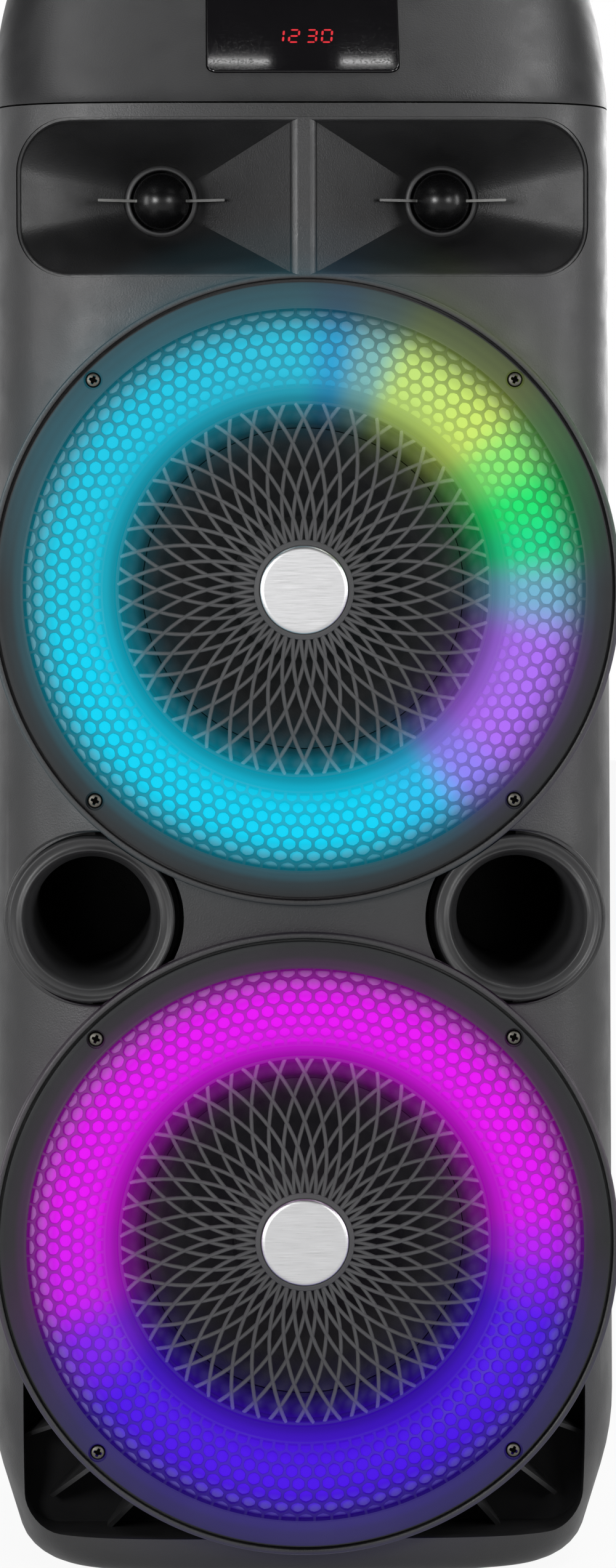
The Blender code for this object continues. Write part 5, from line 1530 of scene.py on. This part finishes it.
class SPEAKER_OT_cabinet(bpy.types.Operator):
    """Front and rear mouldings of the cabinet"""

    bl_idname = "speaker.cabinet"
    bl_label = "Cabinet"

    def execute(self, context):
        p = plan()
        plastic = front_finish(p, "front plastic", p.case, 0.44)
        # Painted shade: the front plastic darkens with its depth behind the skin, in the pockets, hollows and
        # gaps, and its painted glow fades there.
        depth = add_node(plastic.node_tree, "ShaderNodeAttribute", attribute_name="recess").outputs["Fac"]
        shadowed(plastic, depth, [(0, 1), (0.2, 0.6), (1, 0.5)])
        shadowed(plastic, depth, [(0, 1), (0.03, 0.2), (0.1, 0)], "Emission Color")
        # Painted shade: the front plastic is darker towards the cabinet's middle, where less of the side
        # light falls.
        shadowed(plastic, width_share(plastic.node_tree, 0, 0.08), [(0, 0.3), (0.5, 0.65), (1, 1)])
        # The painted glow from the woofers also fades where the skin curves back towards the sides.
        behind = depth_share(plastic.node_tree, p.front_y, p.front_y + 0.05)
        shadowed(plastic, behind, [(0, 1), (0.25, 0.6), (1, 0)], "Emission Color")
        front = front_baffle(p)
        finish(front, plastic, "front_baffle", slot="case_plastic")
        shade_pocket_floors(p, front.data)
        plastic = moulded("case plastic", p.case, 0.44, 0.0008, 0.45, 0.5)
        finish(rear_shell(p), plastic, "rear_shell", slot="case_plastic")
        return {"FINISHED"}


def shared(name, make, *values):
    """A finish that several operators use, made once."""
    return bpy.data.materials.get(name) or make(name, *values)


def trim_finish(p):
    return shared("trim plastic", moulded, p.trim, 0.42, 0.0006, 0.22, 0.45)


def front_finish(p, name, colour, roughness):
    """Front plastic with the faint light that spills over from the woofers."""
    material = moulded(name, colour, roughness, 0.0008, 0.55, 0.5)
    for word, _ in p.woofers:
        curve = [(0.15, 0), (0.1508, 0), (0.153, 0.034), (0.157, 0.02), (0.166, 0.008), (0.185, 0)]
        lit(p, material, word, curve, (0.15, 1.7) if word == "upper" else (1, 0.1))
    return material


def gloss_finish():
    return shared("gloss black", glossy, linear(14, 13, 15), 0.03, 0.4)


def rubber_finish():
    return shared("rubber", moulded, linear(30, 30, 31), 0.8, 0.0009, 0.5, 0.25)


def steel_finish():
    return shared("drawn steel", brushed, linear(176, 177, 180), 0.24, (900, 900, 12))


class SPEAKER_OT_top(bpy.types.Operator):
    """The top moulding over the seam"""

    bl_idname = "speaker.top"
    bl_label = "Top"

    def execute(self, context):
        p = plan()
        plastic = moulded("top plastic", p.case, 0.44, 0.0008, 0.45, 0.5)
        tree = plastic.node_tree
        # Painted shade: the top's front is darker in its middle and full colour towards its sides and back,
        # where the lamps above catch it.
        behind = depth_share(tree, p.front_y, p.front_y + 0.1)
        away = arithmetic("MAXIMUM", width_share(tree, 0, 0.09), behind)
        shadowed(plastic, away, [(0, 0.5), (1, 1)])
        finish(top_cap(p), plastic, "top_cap", slot="case_plastic")
        return {"FINISHED"}


def control_panel(p):
    rings = []
    for z, inset in ((-0.002, 0), (0.0004, 0), (0.0008, 0.0002), (0.001, 0.0006)):
        outline = rounded(p.panel_width / 2 - inset, p.panel_length / 2 - inset, 0.004 - inset)
        rings.append([(x, y, z) for x, y in outline])
    panel = moved(loft("control_panel_face", rings), deck_matrix(p, p.panel_setback))
    holes = [(spot * p.button_pitch, p.button_radius + 0.0004) for spot in BUTTONS.values()]
    for across, radius in holes + [(0, 0.0034)]:
        hole = cylinder("hole", radius, -0.02, 0.02, (0, 0, 0), SMALL_ROUND, STANDING)
        cut(panel, moved(hole, deck_matrix(p, p.panel_setback, across)))
    return panel


def volume_knob(p):
    wide = p.knob_radius
    high = p.knob_height
    profile = [
        (0, high - 0.0006), (wide - 0.0055, high - 0.0006, 0.002), (wide - 0.0042, high, 0.0008),
        (wide - 0.0016, high, 0.0014), (wide - 0.0006, high - 0.003, 0.001),
        (wide - 0.0004, 0.003, 0.0005), (wide, 0.0026, 0.0004), (wide, 0.0018), (0.003, 0.0018),
        (0.003, -0.012), (0, -0.012),
    ]
    place = deck_matrix(p, p.panel_setback)
    knob = lathe("volume_knob_body", soften(profile), MIDDLE_ROUND, turned=STANDING)
    finish(moved(knob, place), trim_finish(p), "volume_knob", body="volume")
    low, top = 0.0034, high - 0.0034
    edge = wide - 0.0005
    rings = []
    for z, out in ((low, -0.0004), (low + 0.001, 0.0004), (top - 0.001, 0.0001), (top, -0.0008)):
        ring = [(edge - 0.001, -0.0006, z), (edge + out, -0.0003, z)]
        rings.append(ring + [(x, -y, z) for x, y, z in reversed(ring)])
    ridge = moved(loft("volume_knob_ridges", rings), place)
    axis = place.to_3x3() @ Vector((0, 0, 1))
    repeat_round(ridge, trim_finish(p), p.knob_ridges, tuple(place.translation), tuple(axis))
    finish(ridge, trim_finish(p), body="volume")
    mark = upright("volume_knob_mark", rounded(0.0006, 0.0035, 0.0005), high - 0.001, high - 0.0004)
    mark = moved(mark, place @ Matrix.Translation((0, 0.0085, 0)))
    finish(mark, moulded("white mark", linear(225, 225, 222), 0.5, 0.0005, 0.1), body="volume")


def push_button(p, word, across):
    top = 0.0036
    radius = p.button_radius
    profile = [
        (0, top - 0.0005), (radius * 0.55, top - 0.00035, 0.002), (radius - 0.0009, top, 0.0007),
        (radius, top - 0.0007, 0.0005), (radius, -0.0036), (radius + 0.0013, -0.0036),
        (radius + 0.0013, -0.005), (0, -0.005),
    ]
    button = lathe(f"{word}_button_cap", soften(profile), SMALL_ROUND, turned=STANDING)
    moved(button, deck_matrix(p, p.panel_setback, across))
    finish(button, rubber_finish(), f"{word}_button", body=word)


class SPEAKER_OT_controls(bpy.types.Operator):
    """Control panel, volume knob and push buttons"""

    bl_idname = "speaker.controls"
    bl_label = "Controls"

    def execute(self, context):
        p = plan()
        finish(control_panel(p), trim_finish(p), "control_panel")
        volume_knob(p)
        for word, spot in BUTTONS.items():
            push_button(p, word, spot * p.button_pitch)
        return {"FINISHED"}


def digit_bars(place, digit):
    """The lit bars of one seven-bar digit."""
    marks = {"0": "abcdef", "1": "bc", "2": "abged", "3": "abgcd"}[digit]
    half_x, half_z = 0.0023, 0.0042
    spots = {
        "a": (0, half_z, 0), "d": (0, -half_z, 0), "g": (0, 0, 0),
        "b": (half_x, half_z / 2, 1), "c": (half_x, -half_z / 2, 1),
        "f": (-half_x, half_z / 2, 1), "e": (-half_x, -half_z / 2, 1),
    }
    bars = []
    for mark in marks:
        x, z, up = spots[mark]
        long, thick = (half_z / 2 - 0.0005 if up else half_x - 0.0004), 0.00052
        shape = [(-long, 0), (-long + thick, thick), (long - thick, thick)]
        shape += [(-a, -b) for a, b in shape]
        if up:
            shape = [(b, a) for a, b in shape]
        outline = [(place + x + a + (z + b) * 0.08, z + b - 0.0055) for a, b in shape]
        bars.append(prism("bar", outline, -0.00086, -0.0007))
    return bars


def digit_glow(p):
    material, tree, shader = principled("display digits")
    clouds = noise(coordinates(tree), 400)
    tone = ramp(clouds, [(0.3, shades(p.display, 0.25)[0]), (0.7, p.display)])
    fill(shader, Emission_Color=tone, Emission_Strength=1)
    fill(shader, Base_Color=(0.02, 0.002, 0.003, 1), Roughness=0.4)
    return material


class SPEAKER_OT_display(bpy.types.Operator):
    """Display window with four number digits"""

    bl_idname = "speaker.display"
    bl_label = "Display"

    def execute(self, context):
        p = plan()
        rings = []
        for y, inset in ((0.003, 0), (-0.0003, 0), (-0.0006, 0.0002), (-0.0008, 0.0006)):
            outline = rounded(p.window_width / 2 - inset, p.window_height / 2 - inset, 0.005 - inset)
            rings.append([(x, y, z) for x, z in outline])
        window = moved(loft("display_glass", rings), window_matrix(p))
        finish(window, gloss_finish(), "display_window", slot="gloss_black")
        bars = []
        for place, digit in zip((-0.0115, -0.004, 0.0045, 0.012), "1230"):
            bars += digit_bars(place, digit)
        digits = moved(together("display_digits", *bars), window_matrix(p))
        finish(digits, digit_glow(p), slot="gloss_black")
        return {"FINISHED"}


class SPEAKER_OT_horn(bpy.types.Operator):
    """Twin horn, its throat rings and the ball plugs"""

    bl_idname = "speaker.horn"
    bl_label = "Horn"

    def execute(self, context):
        p = plan()
        # Painted shade: the horn takes a darker copy of the trim, which darkens further towards the throats
        # and on the outer walls.
        plastic = front_finish(p, "horn plastic", shades(p.trim, 0.15)[0], 0.4)
        deep = depth_share(plastic.node_tree, p.front_y, p.front_y + p.throat_depth)
        shadowed(plastic, deep, [(0, 1), (0.3, 0.85), (1, 0.6)])
        shadowed(plastic, width_share(plastic.node_tree, 0.08, 0.13), [(0, 1), (1, 0.65)])
        finish(horn_waveguide(p), plastic, "horn_waveguide", angle=24)
        collars = together("horn_collars", throat_collar(p, -1), throat_collar(p, 1))
        finish(collars, trim_finish(p))
        gloss = glossy("plug plastic", linear(9, 9, 10), 0.26, 0.3)
        pale = moulded("vane plastic", linear(118, 118, 116), 0.4, 0.0006, 0.1)
        # Painted shade: the inner half of each vane is darker than the outer half.
        across = width_share(pale.node_tree, p.throat_offset - 0.006, p.throat_offset + 0.006)
        shadowed(pale, across, [(0, 0.3), (1, 1)])
        for word, side in SIDES:
            plug, vane = phase_plug(p, f"phase_plug_{word}", side)
            finish(plug, gloss, f"phase_plug_{word}")
            finish(vane, pale)
        return {"FINISHED"}


class SPEAKER_OT_ports(bpy.types.Operator):
    """The two bass ports"""

    bl_idname = "speaker.ports"
    bl_label = "Bass ports"

    def execute(self, context):
        p = plan()
        # Painted light: the flare, from about 5 to 25 mm inside the mouth, is up to two thirds lighter than
        # the trim; the lip and the deep bore keep the trim's colour.
        plastic = moulded("port plastic", tuple(value / 0.3 for value in p.trim), 0.42, 0.0006, 0.22, 0.45)
        mouth = p.front_y - p.port_proud
        deep = depth_share(plastic.node_tree, mouth, mouth + 0.04)
        shadowed(plastic, deep, [(0, 0.3), (0.06, 0.3), (0.12, 0.36), (0.3, 0.48), (0.6, 0.5), (1, 0.3)])
        for word, side in SIDES:
            port = bass_port(p, f"bass_port_{word}_tube", side)
            finish(port, plastic, f"bass_port_{word}")
        return {"FINISHED"}


class SPEAKER_OT_covers(bpy.types.Operator):
    """The perforated rings over the lights, with their flanges"""

    bl_idname = "speaker.covers"
    bl_label = "Perforated rings"

    def execute(self, context):
        p = plan()
        for word, height in p.woofers:
            web = [(0.092, 0.48), (0.097, 0.66), (0.102, 0.75), (0.108, 0.7), (0.118, 0.6), (0.125, 0.45)]
            web += [(0.131, 0.27), (0.137, 0.15), (0.142, 0.06), (0.15, 0)]
            finish_web = cover_plastic(p, word, "cells", p.cells, web)
            cells = cell_wedge(p, f"{word}_cover_cells", height)
            repeat_round(cells, finish_web, p.cell_columns, (0, p.rim_y, height))
            finish(cells, finish_web, f"{word}_grille_ring", angle=50)
            flange, edge = cover_bands(p, word, height)
            finish(flange, flange_plastic(p, word))
            finish(edge, finish_web)
        return {"FINISHED"}


class SPEAKER_OT_lights(bpy.types.Operator):
    """The light rings under the perforated rings"""

    bl_idname = "speaker.lights"
    bl_label = "Light rings"

    def execute(self, context):
        p = plan()
        for word, height in p.woofers:
            ring = lathe(f"{word}_light_diffuser", light_profile(p), BIG_ROUND, (0, p.rim_y, height))
            finish(ring, diffuser(p, word), f"{word}_light_ring", slot="light_diffuser")
        return {"FINISHED"}


class SPEAKER_OT_centres(bpy.types.Operator):
    """Centre grilles of crossing spiral ribs, with their metal discs"""

    bl_idname = "speaker.centres"
    bl_label = "Centre grilles"

    def execute(self, context):
        p = plan()
        disc = brushed("brushed disc", p.badge, 0.34, (60, 60, 4200))
        for word, height in p.woofers:
            glow = [(0.064, 0), (0.074, 0.015), (0.081, 0.08), (0.087, 0.24), (0.092, 0.42), (0.096, 0.5)]
            plastic = cover_plastic(p, word, "mesh", p.ribs, glow)
            ribs = together(f"{word}_centre_ribs", spiral_rib(p, height, 1), spiral_rib(p, height, -1))
            repeat_round(ribs, plastic, p.rib_count, (0, p.rim_y, height))
            finish(ribs, plastic, f"{word}_centre_grille")
            rim, hub = grille_rings(p, word, height)
            finish(rim, cover_plastic(p, word, "rim", p.cells, glow))
            finish(hub, plastic)
            seat = p.mesh_seat - p.mesh_rise - GAP
            profile = [
                (0, seat - 0.0018), (p.badge_radius - 0.0016, seat - 0.0017, 0.0006),
                (p.badge_radius - 0.0006, seat - 0.0013, 0.0006), (p.badge_radius, seat - 0.0007, 0.0004),
                (p.badge_radius, seat), (0, seat),
            ]
            badge = lathe(f"{word}_badge_disc", soften(profile), MIDDLE_ROUND, (0, p.rim_y, height))
            finish(badge, disc, f"{word}_badge", slot="brushed_aluminium")
        return {"FINISHED"}


class SPEAKER_OT_screws(bpy.types.Operator):
    """Four cross-head screws in each woofer cover"""

    bl_idname = "speaker.screws"
    bl_label = "Screws"

    def execute(self, context):
        p = plan()
        metal = brushed("screw metal", p.screw, 0.5, (1400, 1400, 1400))
        # Painted shade: the screw metal darkens nearly to black behind the head's face, in the cross slots.
        deep = depth_share(metal.node_tree, p.rim_y - 0.0002, p.rim_y + 0.0008)
        shadowed(metal, deep, [(0, 1), (0.2, 0.3), (1, 0.02)])
        x, z = screw_places(p)[0]
        for word, height in p.woofers:
            screws = screw(p, f"{word}_screws", x, height + z)
            repeat_round(screws, metal, 4, (0, p.rim_y, height))
            nodes = [f"{word}_screw_{index}" for index in range(1, 5)]
            finish(screws, metal, *nodes, slot="screw_steel")
        return {"FINISHED"}


def surround_rubber(p, word):
    """Rubber with a little of the woofer's light on it."""
    material = moulded(f"{word} surround rubber", linear(30, 30, 31), 0.7, 0.0009, 0.4, 0.2)
    curve = [(0.072, 0), (0.0785, 0.04), (0.086, 0.17), (0.092, 0.32), (0.096, 0.36)]
    return lit(p, material, word, curve)


def soft_ring(obj, material):
    """Gives a ring its finish and smooth shading, and puts its place into its mesh."""
    obj.data.materials.append(material)
    obj.data.shade_smooth()
    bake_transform(obj)


class SPEAKER_OT_drivers(bpy.types.Operator):
    """Cones, rubber surrounds and cloth spiders"""

    bl_idname = "speaker.drivers"
    bl_label = "Drivers"

    def execute(self, context):
        p = plan()
        cloth = woven("spider cloth", linear(150, 116, 62))
        for word, height in p.woofers:
            place = (0, p.rim_y, height)
            body = f"{word}_cone_body"
            paper = moulded(f"{word} cone paper", linear(38, 38, 39), 0.72, 0.0012, 0.5, 0.25, 0.2)
            lit(p, paper, word, [(0.06, 0), (0.07, 0.008), (0.0785, 0.04)])
            cone = lathe(f"{word}_cone_form", cone_profile(p), MIDDLE_ROUND, place)
            finish(cone, paper, f"{word}_cone", body=body, slot="cone_paper")
            roll = lathe(f"{word}_surround_roll", surround_profile(p), MIDDLE_ROUND, place)
            rubber = surround_rubber(p, word)
            soft_ring(roll, rubber)
            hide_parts(f"{word}_surround")
            spider = lathe(f"{word}_spider_cloth", spider_profile(p), MIDDLE_ROUND, place)
            soft_ring(spider, cloth)
            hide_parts(f"{word}_spider")
        return {"FINISHED"}


def wheel_axle(p):
    """The rod through both wheels, with a rounded head at each end."""
    half = p.wheel_offset + p.wheel_width / 2 + 0.0008
    end = half + 0.002
    profile = [(0, -end), (0.0062, -end, 0.0009), (0.0062, -half), (p.axle_radius, -half)]
    profile += [(p.axle_radius, half), (0.0062, half), (0.0062, end, 0.0009), (0, end)]
    place = (0, p.wheel_y, p.wheel_z)
    rod = lathe("wheel_axle_rod", soften(profile), SMALL_ROUND, place, (0, 0, -pi / 2))
    finish(rod, steel_finish(), "wheel_axle", slot="steel")


def wheel(p, word, side):
    tread = p.wheel_radius
    half = p.wheel_width / 2
    place = (side * p.wheel_offset, p.wheel_y, p.wheel_z)
    turned = (0, 0, -side * pi / 2)
    rim = tread - 0.008
    bore = p.axle_radius + GAP
    tyre = [
        (rim, -half + 0.001), (tread - 0.003, -half, 0.001), (tread, -half + 0.004, 0.003),
        (tread, -0.0012, 0.0004), (tread - 0.001, -0.0008, 0.0004), (tread - 0.001, 0.0008, 0.0004),
        (tread, 0.0012, 0.0004), (tread, half - 0.004, 0.003), (tread - 0.003, half, 0.001),
        (rim, half - 0.001),
    ]
    hub = [
        (bore, -half), (rim + GAP, -half), (rim + GAP, half - 0.0006, 0.0006),
        (rim - 0.0022, half - 0.0006, 0.0006), (rim - 0.0032, half - 0.006, 0.001),
        (0.0125, half - 0.006, 0.001), (0.0115, half, 0.0012), (bore, half),
    ]
    body = f"wheel_{word}_body"
    piece = lathe(f"wheel_{word}_tyre", soften(tyre), MIDDLE_ROUND, place, turned)
    finish(piece, rubber_finish(), f"wheel_{word}", body=body, slot="rubber")
    piece = lathe(f"wheel_{word}_hub", soften(hub), MIDDLE_ROUND, place, turned)
    finish(piece, trim_finish(p), body=body)
    inner, outer = 0.011, rim - 0.001
    rings = []
    for radius, wide, high in ((inner, 0.0022, half - 0.0022), (outer, 0.0016, half - 0.0016)):
        shape = [(-wide, half - 0.0075), (-wide, high - 0.0006), (-wide + 0.0006, high)]
        shape += [(-x, y) for x, y in reversed(shape)]
        rings.append([(radius, y, x) for x, y in shape])
    spoke = loft(f"wheel_{word}_spokes", rings)
    moved(spoke, Matrix.Translation(place) @ Euler(turned).to_matrix().to_4x4())
    repeat_round(spoke, trim_finish(p), 6, place, (1, 0, 0))
    finish(spoke, trim_finish(p), body=body)


class SPEAKER_OT_wheels(bpy.types.Operator):
    """The two wheels"""

    bl_idname = "speaker.wheels"
    bl_label = "Wheels"

    def execute(self, context):
        p = plan()
        for word, side in SIDES:
            wheel(p, word, side)
        wheel_axle(p)
        return {"FINISHED"}


class SPEAKER_OT_handle(bpy.types.Operator):
    """The pull-out handle: grip and tubes"""

    bl_idname = "speaker.handle"
    bl_label = "Handle"

    def execute(self, context):
        p = plan()
        top = deck_at(p, p.grip_y) - 0.001
        half_y = p.grip_depth / 2
        rings = []
        low = -p.grip_height
        ends = [(low, 0.0025), (low + 0.0008, 0.001), (low + 0.0026, 0), (-0.006, 0), (-0.0036, 0.0005)]
        ends += [(-0.0018, 0.0018), (-0.0006, 0.0035), (0, 0.0056)]
        for z, inset in ends:
            outline = rounded(p.grip_length / 2 - inset, half_y - inset, half_y * 0.4)
            rings.append([(x, y + p.grip_y, z + top) for x, y in outline])
        grip = loft("handle_grip", rings)
        leg_top = top - 0.007
        legs = []
        for side in (-1, 1):
            place = (side * p.leg_offset, p.grip_y, 0)
            low = p.leg_bottom + 0.004
            legs.append(cylinder("tube", p.leg_radius, low, leg_top, place, SMALL_ROUND, STANDING))
            hole = cylinder("hole", p.leg_radius + GAP, 0.5, leg_top + GAP, place, SMALL_ROUND, STANDING)
            cut(grip, hole)
        finish(grip, trim_finish(p), "trolley_grip", body="trolley")
        outline = rounded(0.0009, half_y - 0.0045, 0.0008)
        rib = upright("handle_grip_ribs", outline, top - 0.0008, top + 0.0004)
        moved(rib, Matrix.Translation((-0.045, p.grip_y, 0)))
        repeat_along(rib, rubber_finish(), 31, (0.003, 0, 0))
        finish(rib, rubber_finish(), body="trolley", slot="rubber")
        half = p.leg_offset + p.leg_radius + 0.002
        bridge = upright("bridge", rounded(half, 0.007, 0.003), p.leg_bottom, p.leg_bottom + 0.012)
        frame_piece = combine(bridge, "UNION", *legs)
        frame_piece.name = "handle_tubes"
        finish(frame_piece, steel_finish(), "trolley_frame", body="trolley", slot="steel")
        return {"FINISHED"}


def on_plate(p, place, outline):
    return [(place + x, z + p.plate_level) for x, z in outline]


def rocker_key(p):
    shape = [(-0.009, -0.0005), (-0.009, 0.0017, 0.0005)]
    for part in shares(12):
        z = -0.0086 + 0.0172 * part
        shape.append((z, 0.0006 + 0.0014 * (z / 0.009) ** 2))
    shape += [(0.009, 0.0017, 0.0005), (0.009, -0.0005), (0, -0.007)]
    rings = []
    for x, inset in ((-0.0061, 0.0004), (-0.0056, 0), (0.0056, 0), (0.0061, 0.0004)):
        rings.append([(x, y - (inset if y > 0 else 0), z) for z, y in soften(shape, 3)])
    place = Matrix.Translation((0.02, p.back_y - p.plate_thick, p.plate_level))
    rocker = moved(loft("power_rocker_key", rings), place @ Matrix.Rotation(radians(-7), 4, "X"))
    red = glossy("rocker red", linear(120, 18, 18), 0.22, 0.45)
    finish(rocker, red, "power_rocker", body="rocker")


class SPEAKER_OT_back(bpy.types.Operator):
    """Rear plate with the mains inlet and the rocker switch"""

    bl_idname = "speaker.back"
    bl_label = "Rear plate"

    def execute(self, context):
        p = plan()
        back = p.back_y - GAP
        rings = []
        levels = ((back - p.plate_thick, 0), (back - 0.0008, 0), (back - 0.0002, 0.0003), (back, 0.0009))
        for y, inset in levels:
            rings.append([(x, y, z) for x, z in plate_outline(p, -inset, 0.0025)])
        plate = loft("rear_plate_face", rings)
        cut(plate, prism("inlet", on_plate(p, -0.025, rounded(0.0115, 0.0065, 0.003)), 0, 0.3))
        cut(plate, prism("rocker", on_plate(p, 0.02, rounded(0.0065, 0.0105, 0.0008)), 0, 0.3))
        finish(plate, trim_finish(p), "rear_plate")
        outline = on_plate(p, -0.025, rounded(0.0111, 0.0061, 0.003))
        inlet = prism("mains_inlet_shell", outline, back - 0.02, back - 0.0004)
        outline = on_plate(p, -0.025, rounded(0.0089, 0.004, 0.002))
        cut(inlet, prism("socket", outline, back - 0.013, back + 0.02))
        finish(inlet, gloss_finish(), "power_inlet", slot="gloss_black")
        pins = []
        for x in (-0.0285, -0.0215):
            end, tip = back - 0.015, back - 0.0052
            profile = soften([(0, end), (0.0009, end), (0.0009, tip, 0.0005), (0, back - 0.0048)])
            pins.append(lathe("pin", profile, 20, (x, 0, p.plate_level)))
        finish(together("mains_inlet_pins", *pins), steel_finish(), slot="steel")
        rocker_key(p)
        return {"FINISHED"}


def foot_strip(p, word, half, middle):
    rings = []
    for z, inset in ((0.0006, 0.0016), (0.0009, 0.0006), (0.0016, 0), (p.foot_height - GAP, 0)):
        outline = rounded(half - inset, 0.011 - inset, 0.006)
        rings.append([(x, y + middle, z) for x, y in outline])
    strip = loft(f"foot_{word}_strip", rings)
    finish(strip, rubber_finish(), f"foot_{word}", slot="rubber")
    count = int(half / 0.003) - 3
    tread = upright(f"foot_{word}_tread", rounded(0.0011, 0.0085, 0.0008), 0, 0.0012)
    moved(tread, Matrix.Translation((-0.003 * (count - 1), middle, 0)))
    repeat_along(tread, rubber_finish(), count, (0.006, 0, 0))
    finish(tread, rubber_finish(), slot="rubber")


class SPEAKER_OT_feet(bpy.types.Operator):
    """Front and rear foot strips"""

    bl_idname = "speaker.feet"
    bl_label = "Feet"

    def execute(self, context):
        p = plan()
        foot_strip(p, "front", p.base_width / 2 - 0.068, p.front_y + 0.043)
        foot_strip(p, "rear", p.base_width / 2 - 0.088, p.back_y - 0.047)
        return {"FINISHED"}


class SPEAKER_OT_inside(bpy.types.Operator):
    """Finishes of the pieces inside, which keep the shapes of the packed model"""

    bl_idname = "speaker.inside"
    bl_label = "Pieces inside"

    def execute(self, context):
        p = plan()
        board = printed_board("circuit board", linear(30, 104, 62))
        ferrite = moulded("ferrite", linear(52, 52, 54), 0.6, 0.001, 0.4, 0.3, 0.15)
        painted = moulded("basket paint", linear(40, 40, 41), 0.45, 0.0009, 0.25, 0.4)
        wrap = glossy("battery wrap", linear(36, 74, 140), 0.3, 0.4)
        finishes = (
            (board, "main_board control_board upper_led_board lower_led_board"),
            (ferrite, "tweeter_left tweeter_right upper_motor lower_motor"),
            (painted, "upper_basket lower_basket"),
            (wrap, "battery_pack"),
            (trim_finish(p), "trolley_guide"),
        )
        for material, names in finishes:
            for name in names.split():
                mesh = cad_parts[name].data
                mesh.materials.clear()
                mesh.materials.append(material)
        return {"FINISHED"}


OPERATORS = (
    SPEAKER_OT_stage, SPEAKER_OT_cabinet, SPEAKER_OT_top, SPEAKER_OT_controls,
    SPEAKER_OT_display, SPEAKER_OT_horn, SPEAKER_OT_ports, SPEAKER_OT_covers,
    SPEAKER_OT_lights, SPEAKER_OT_centres, SPEAKER_OT_screws, SPEAKER_OT_drivers,
    SPEAKER_OT_wheels, SPEAKER_OT_handle, SPEAKER_OT_back, SPEAKER_OT_feet,
    SPEAKER_OT_inside,
)


class SPEAKER_PT_panel(bpy.types.Panel):
    """Sizes, colours and pieces of the speaker"""

    bl_idname = "SPEAKER_PT_panel"
    bl_label = "Party speaker"
    bl_space_type = "VIEW_3D"
    bl_region_type = "UI"
    bl_category = "Speaker"

    def draw(self, context):
        layout = self.layout
        for key, kind in GROUPS.items():
            area = layout.box()
            area.label(text=kind.__doc__)
            for name in kind.__annotations__:
                area.prop(getattr(context.scene, key), name)
        for kind in OPERATORS:
            layout.operator(kind.bl_idname)


def register():
    for kind in (*GROUPS.values(), *OPERATORS, SPEAKER_PT_panel):
        bpy.utils.register_class(kind)
    for key, kind in GROUPS.items():
        setattr(bpy.types.Scene, key, bpy.props.PointerProperty(type=kind))


def unregister():
    for key in GROUPS:
        delattr(bpy.types.Scene, key)
    for kind in reversed((*GROUPS.values(), *OPERATORS, SPEAKER_PT_panel)):
        bpy.utils.unregister_class(kind)


def main():
    register()
    for kind in OPERATORS:
        group, name = kind.bl_idname.split(".")
        getattr(getattr(bpy.ops, group), name)()


if __name__ == "__main__":
    main()
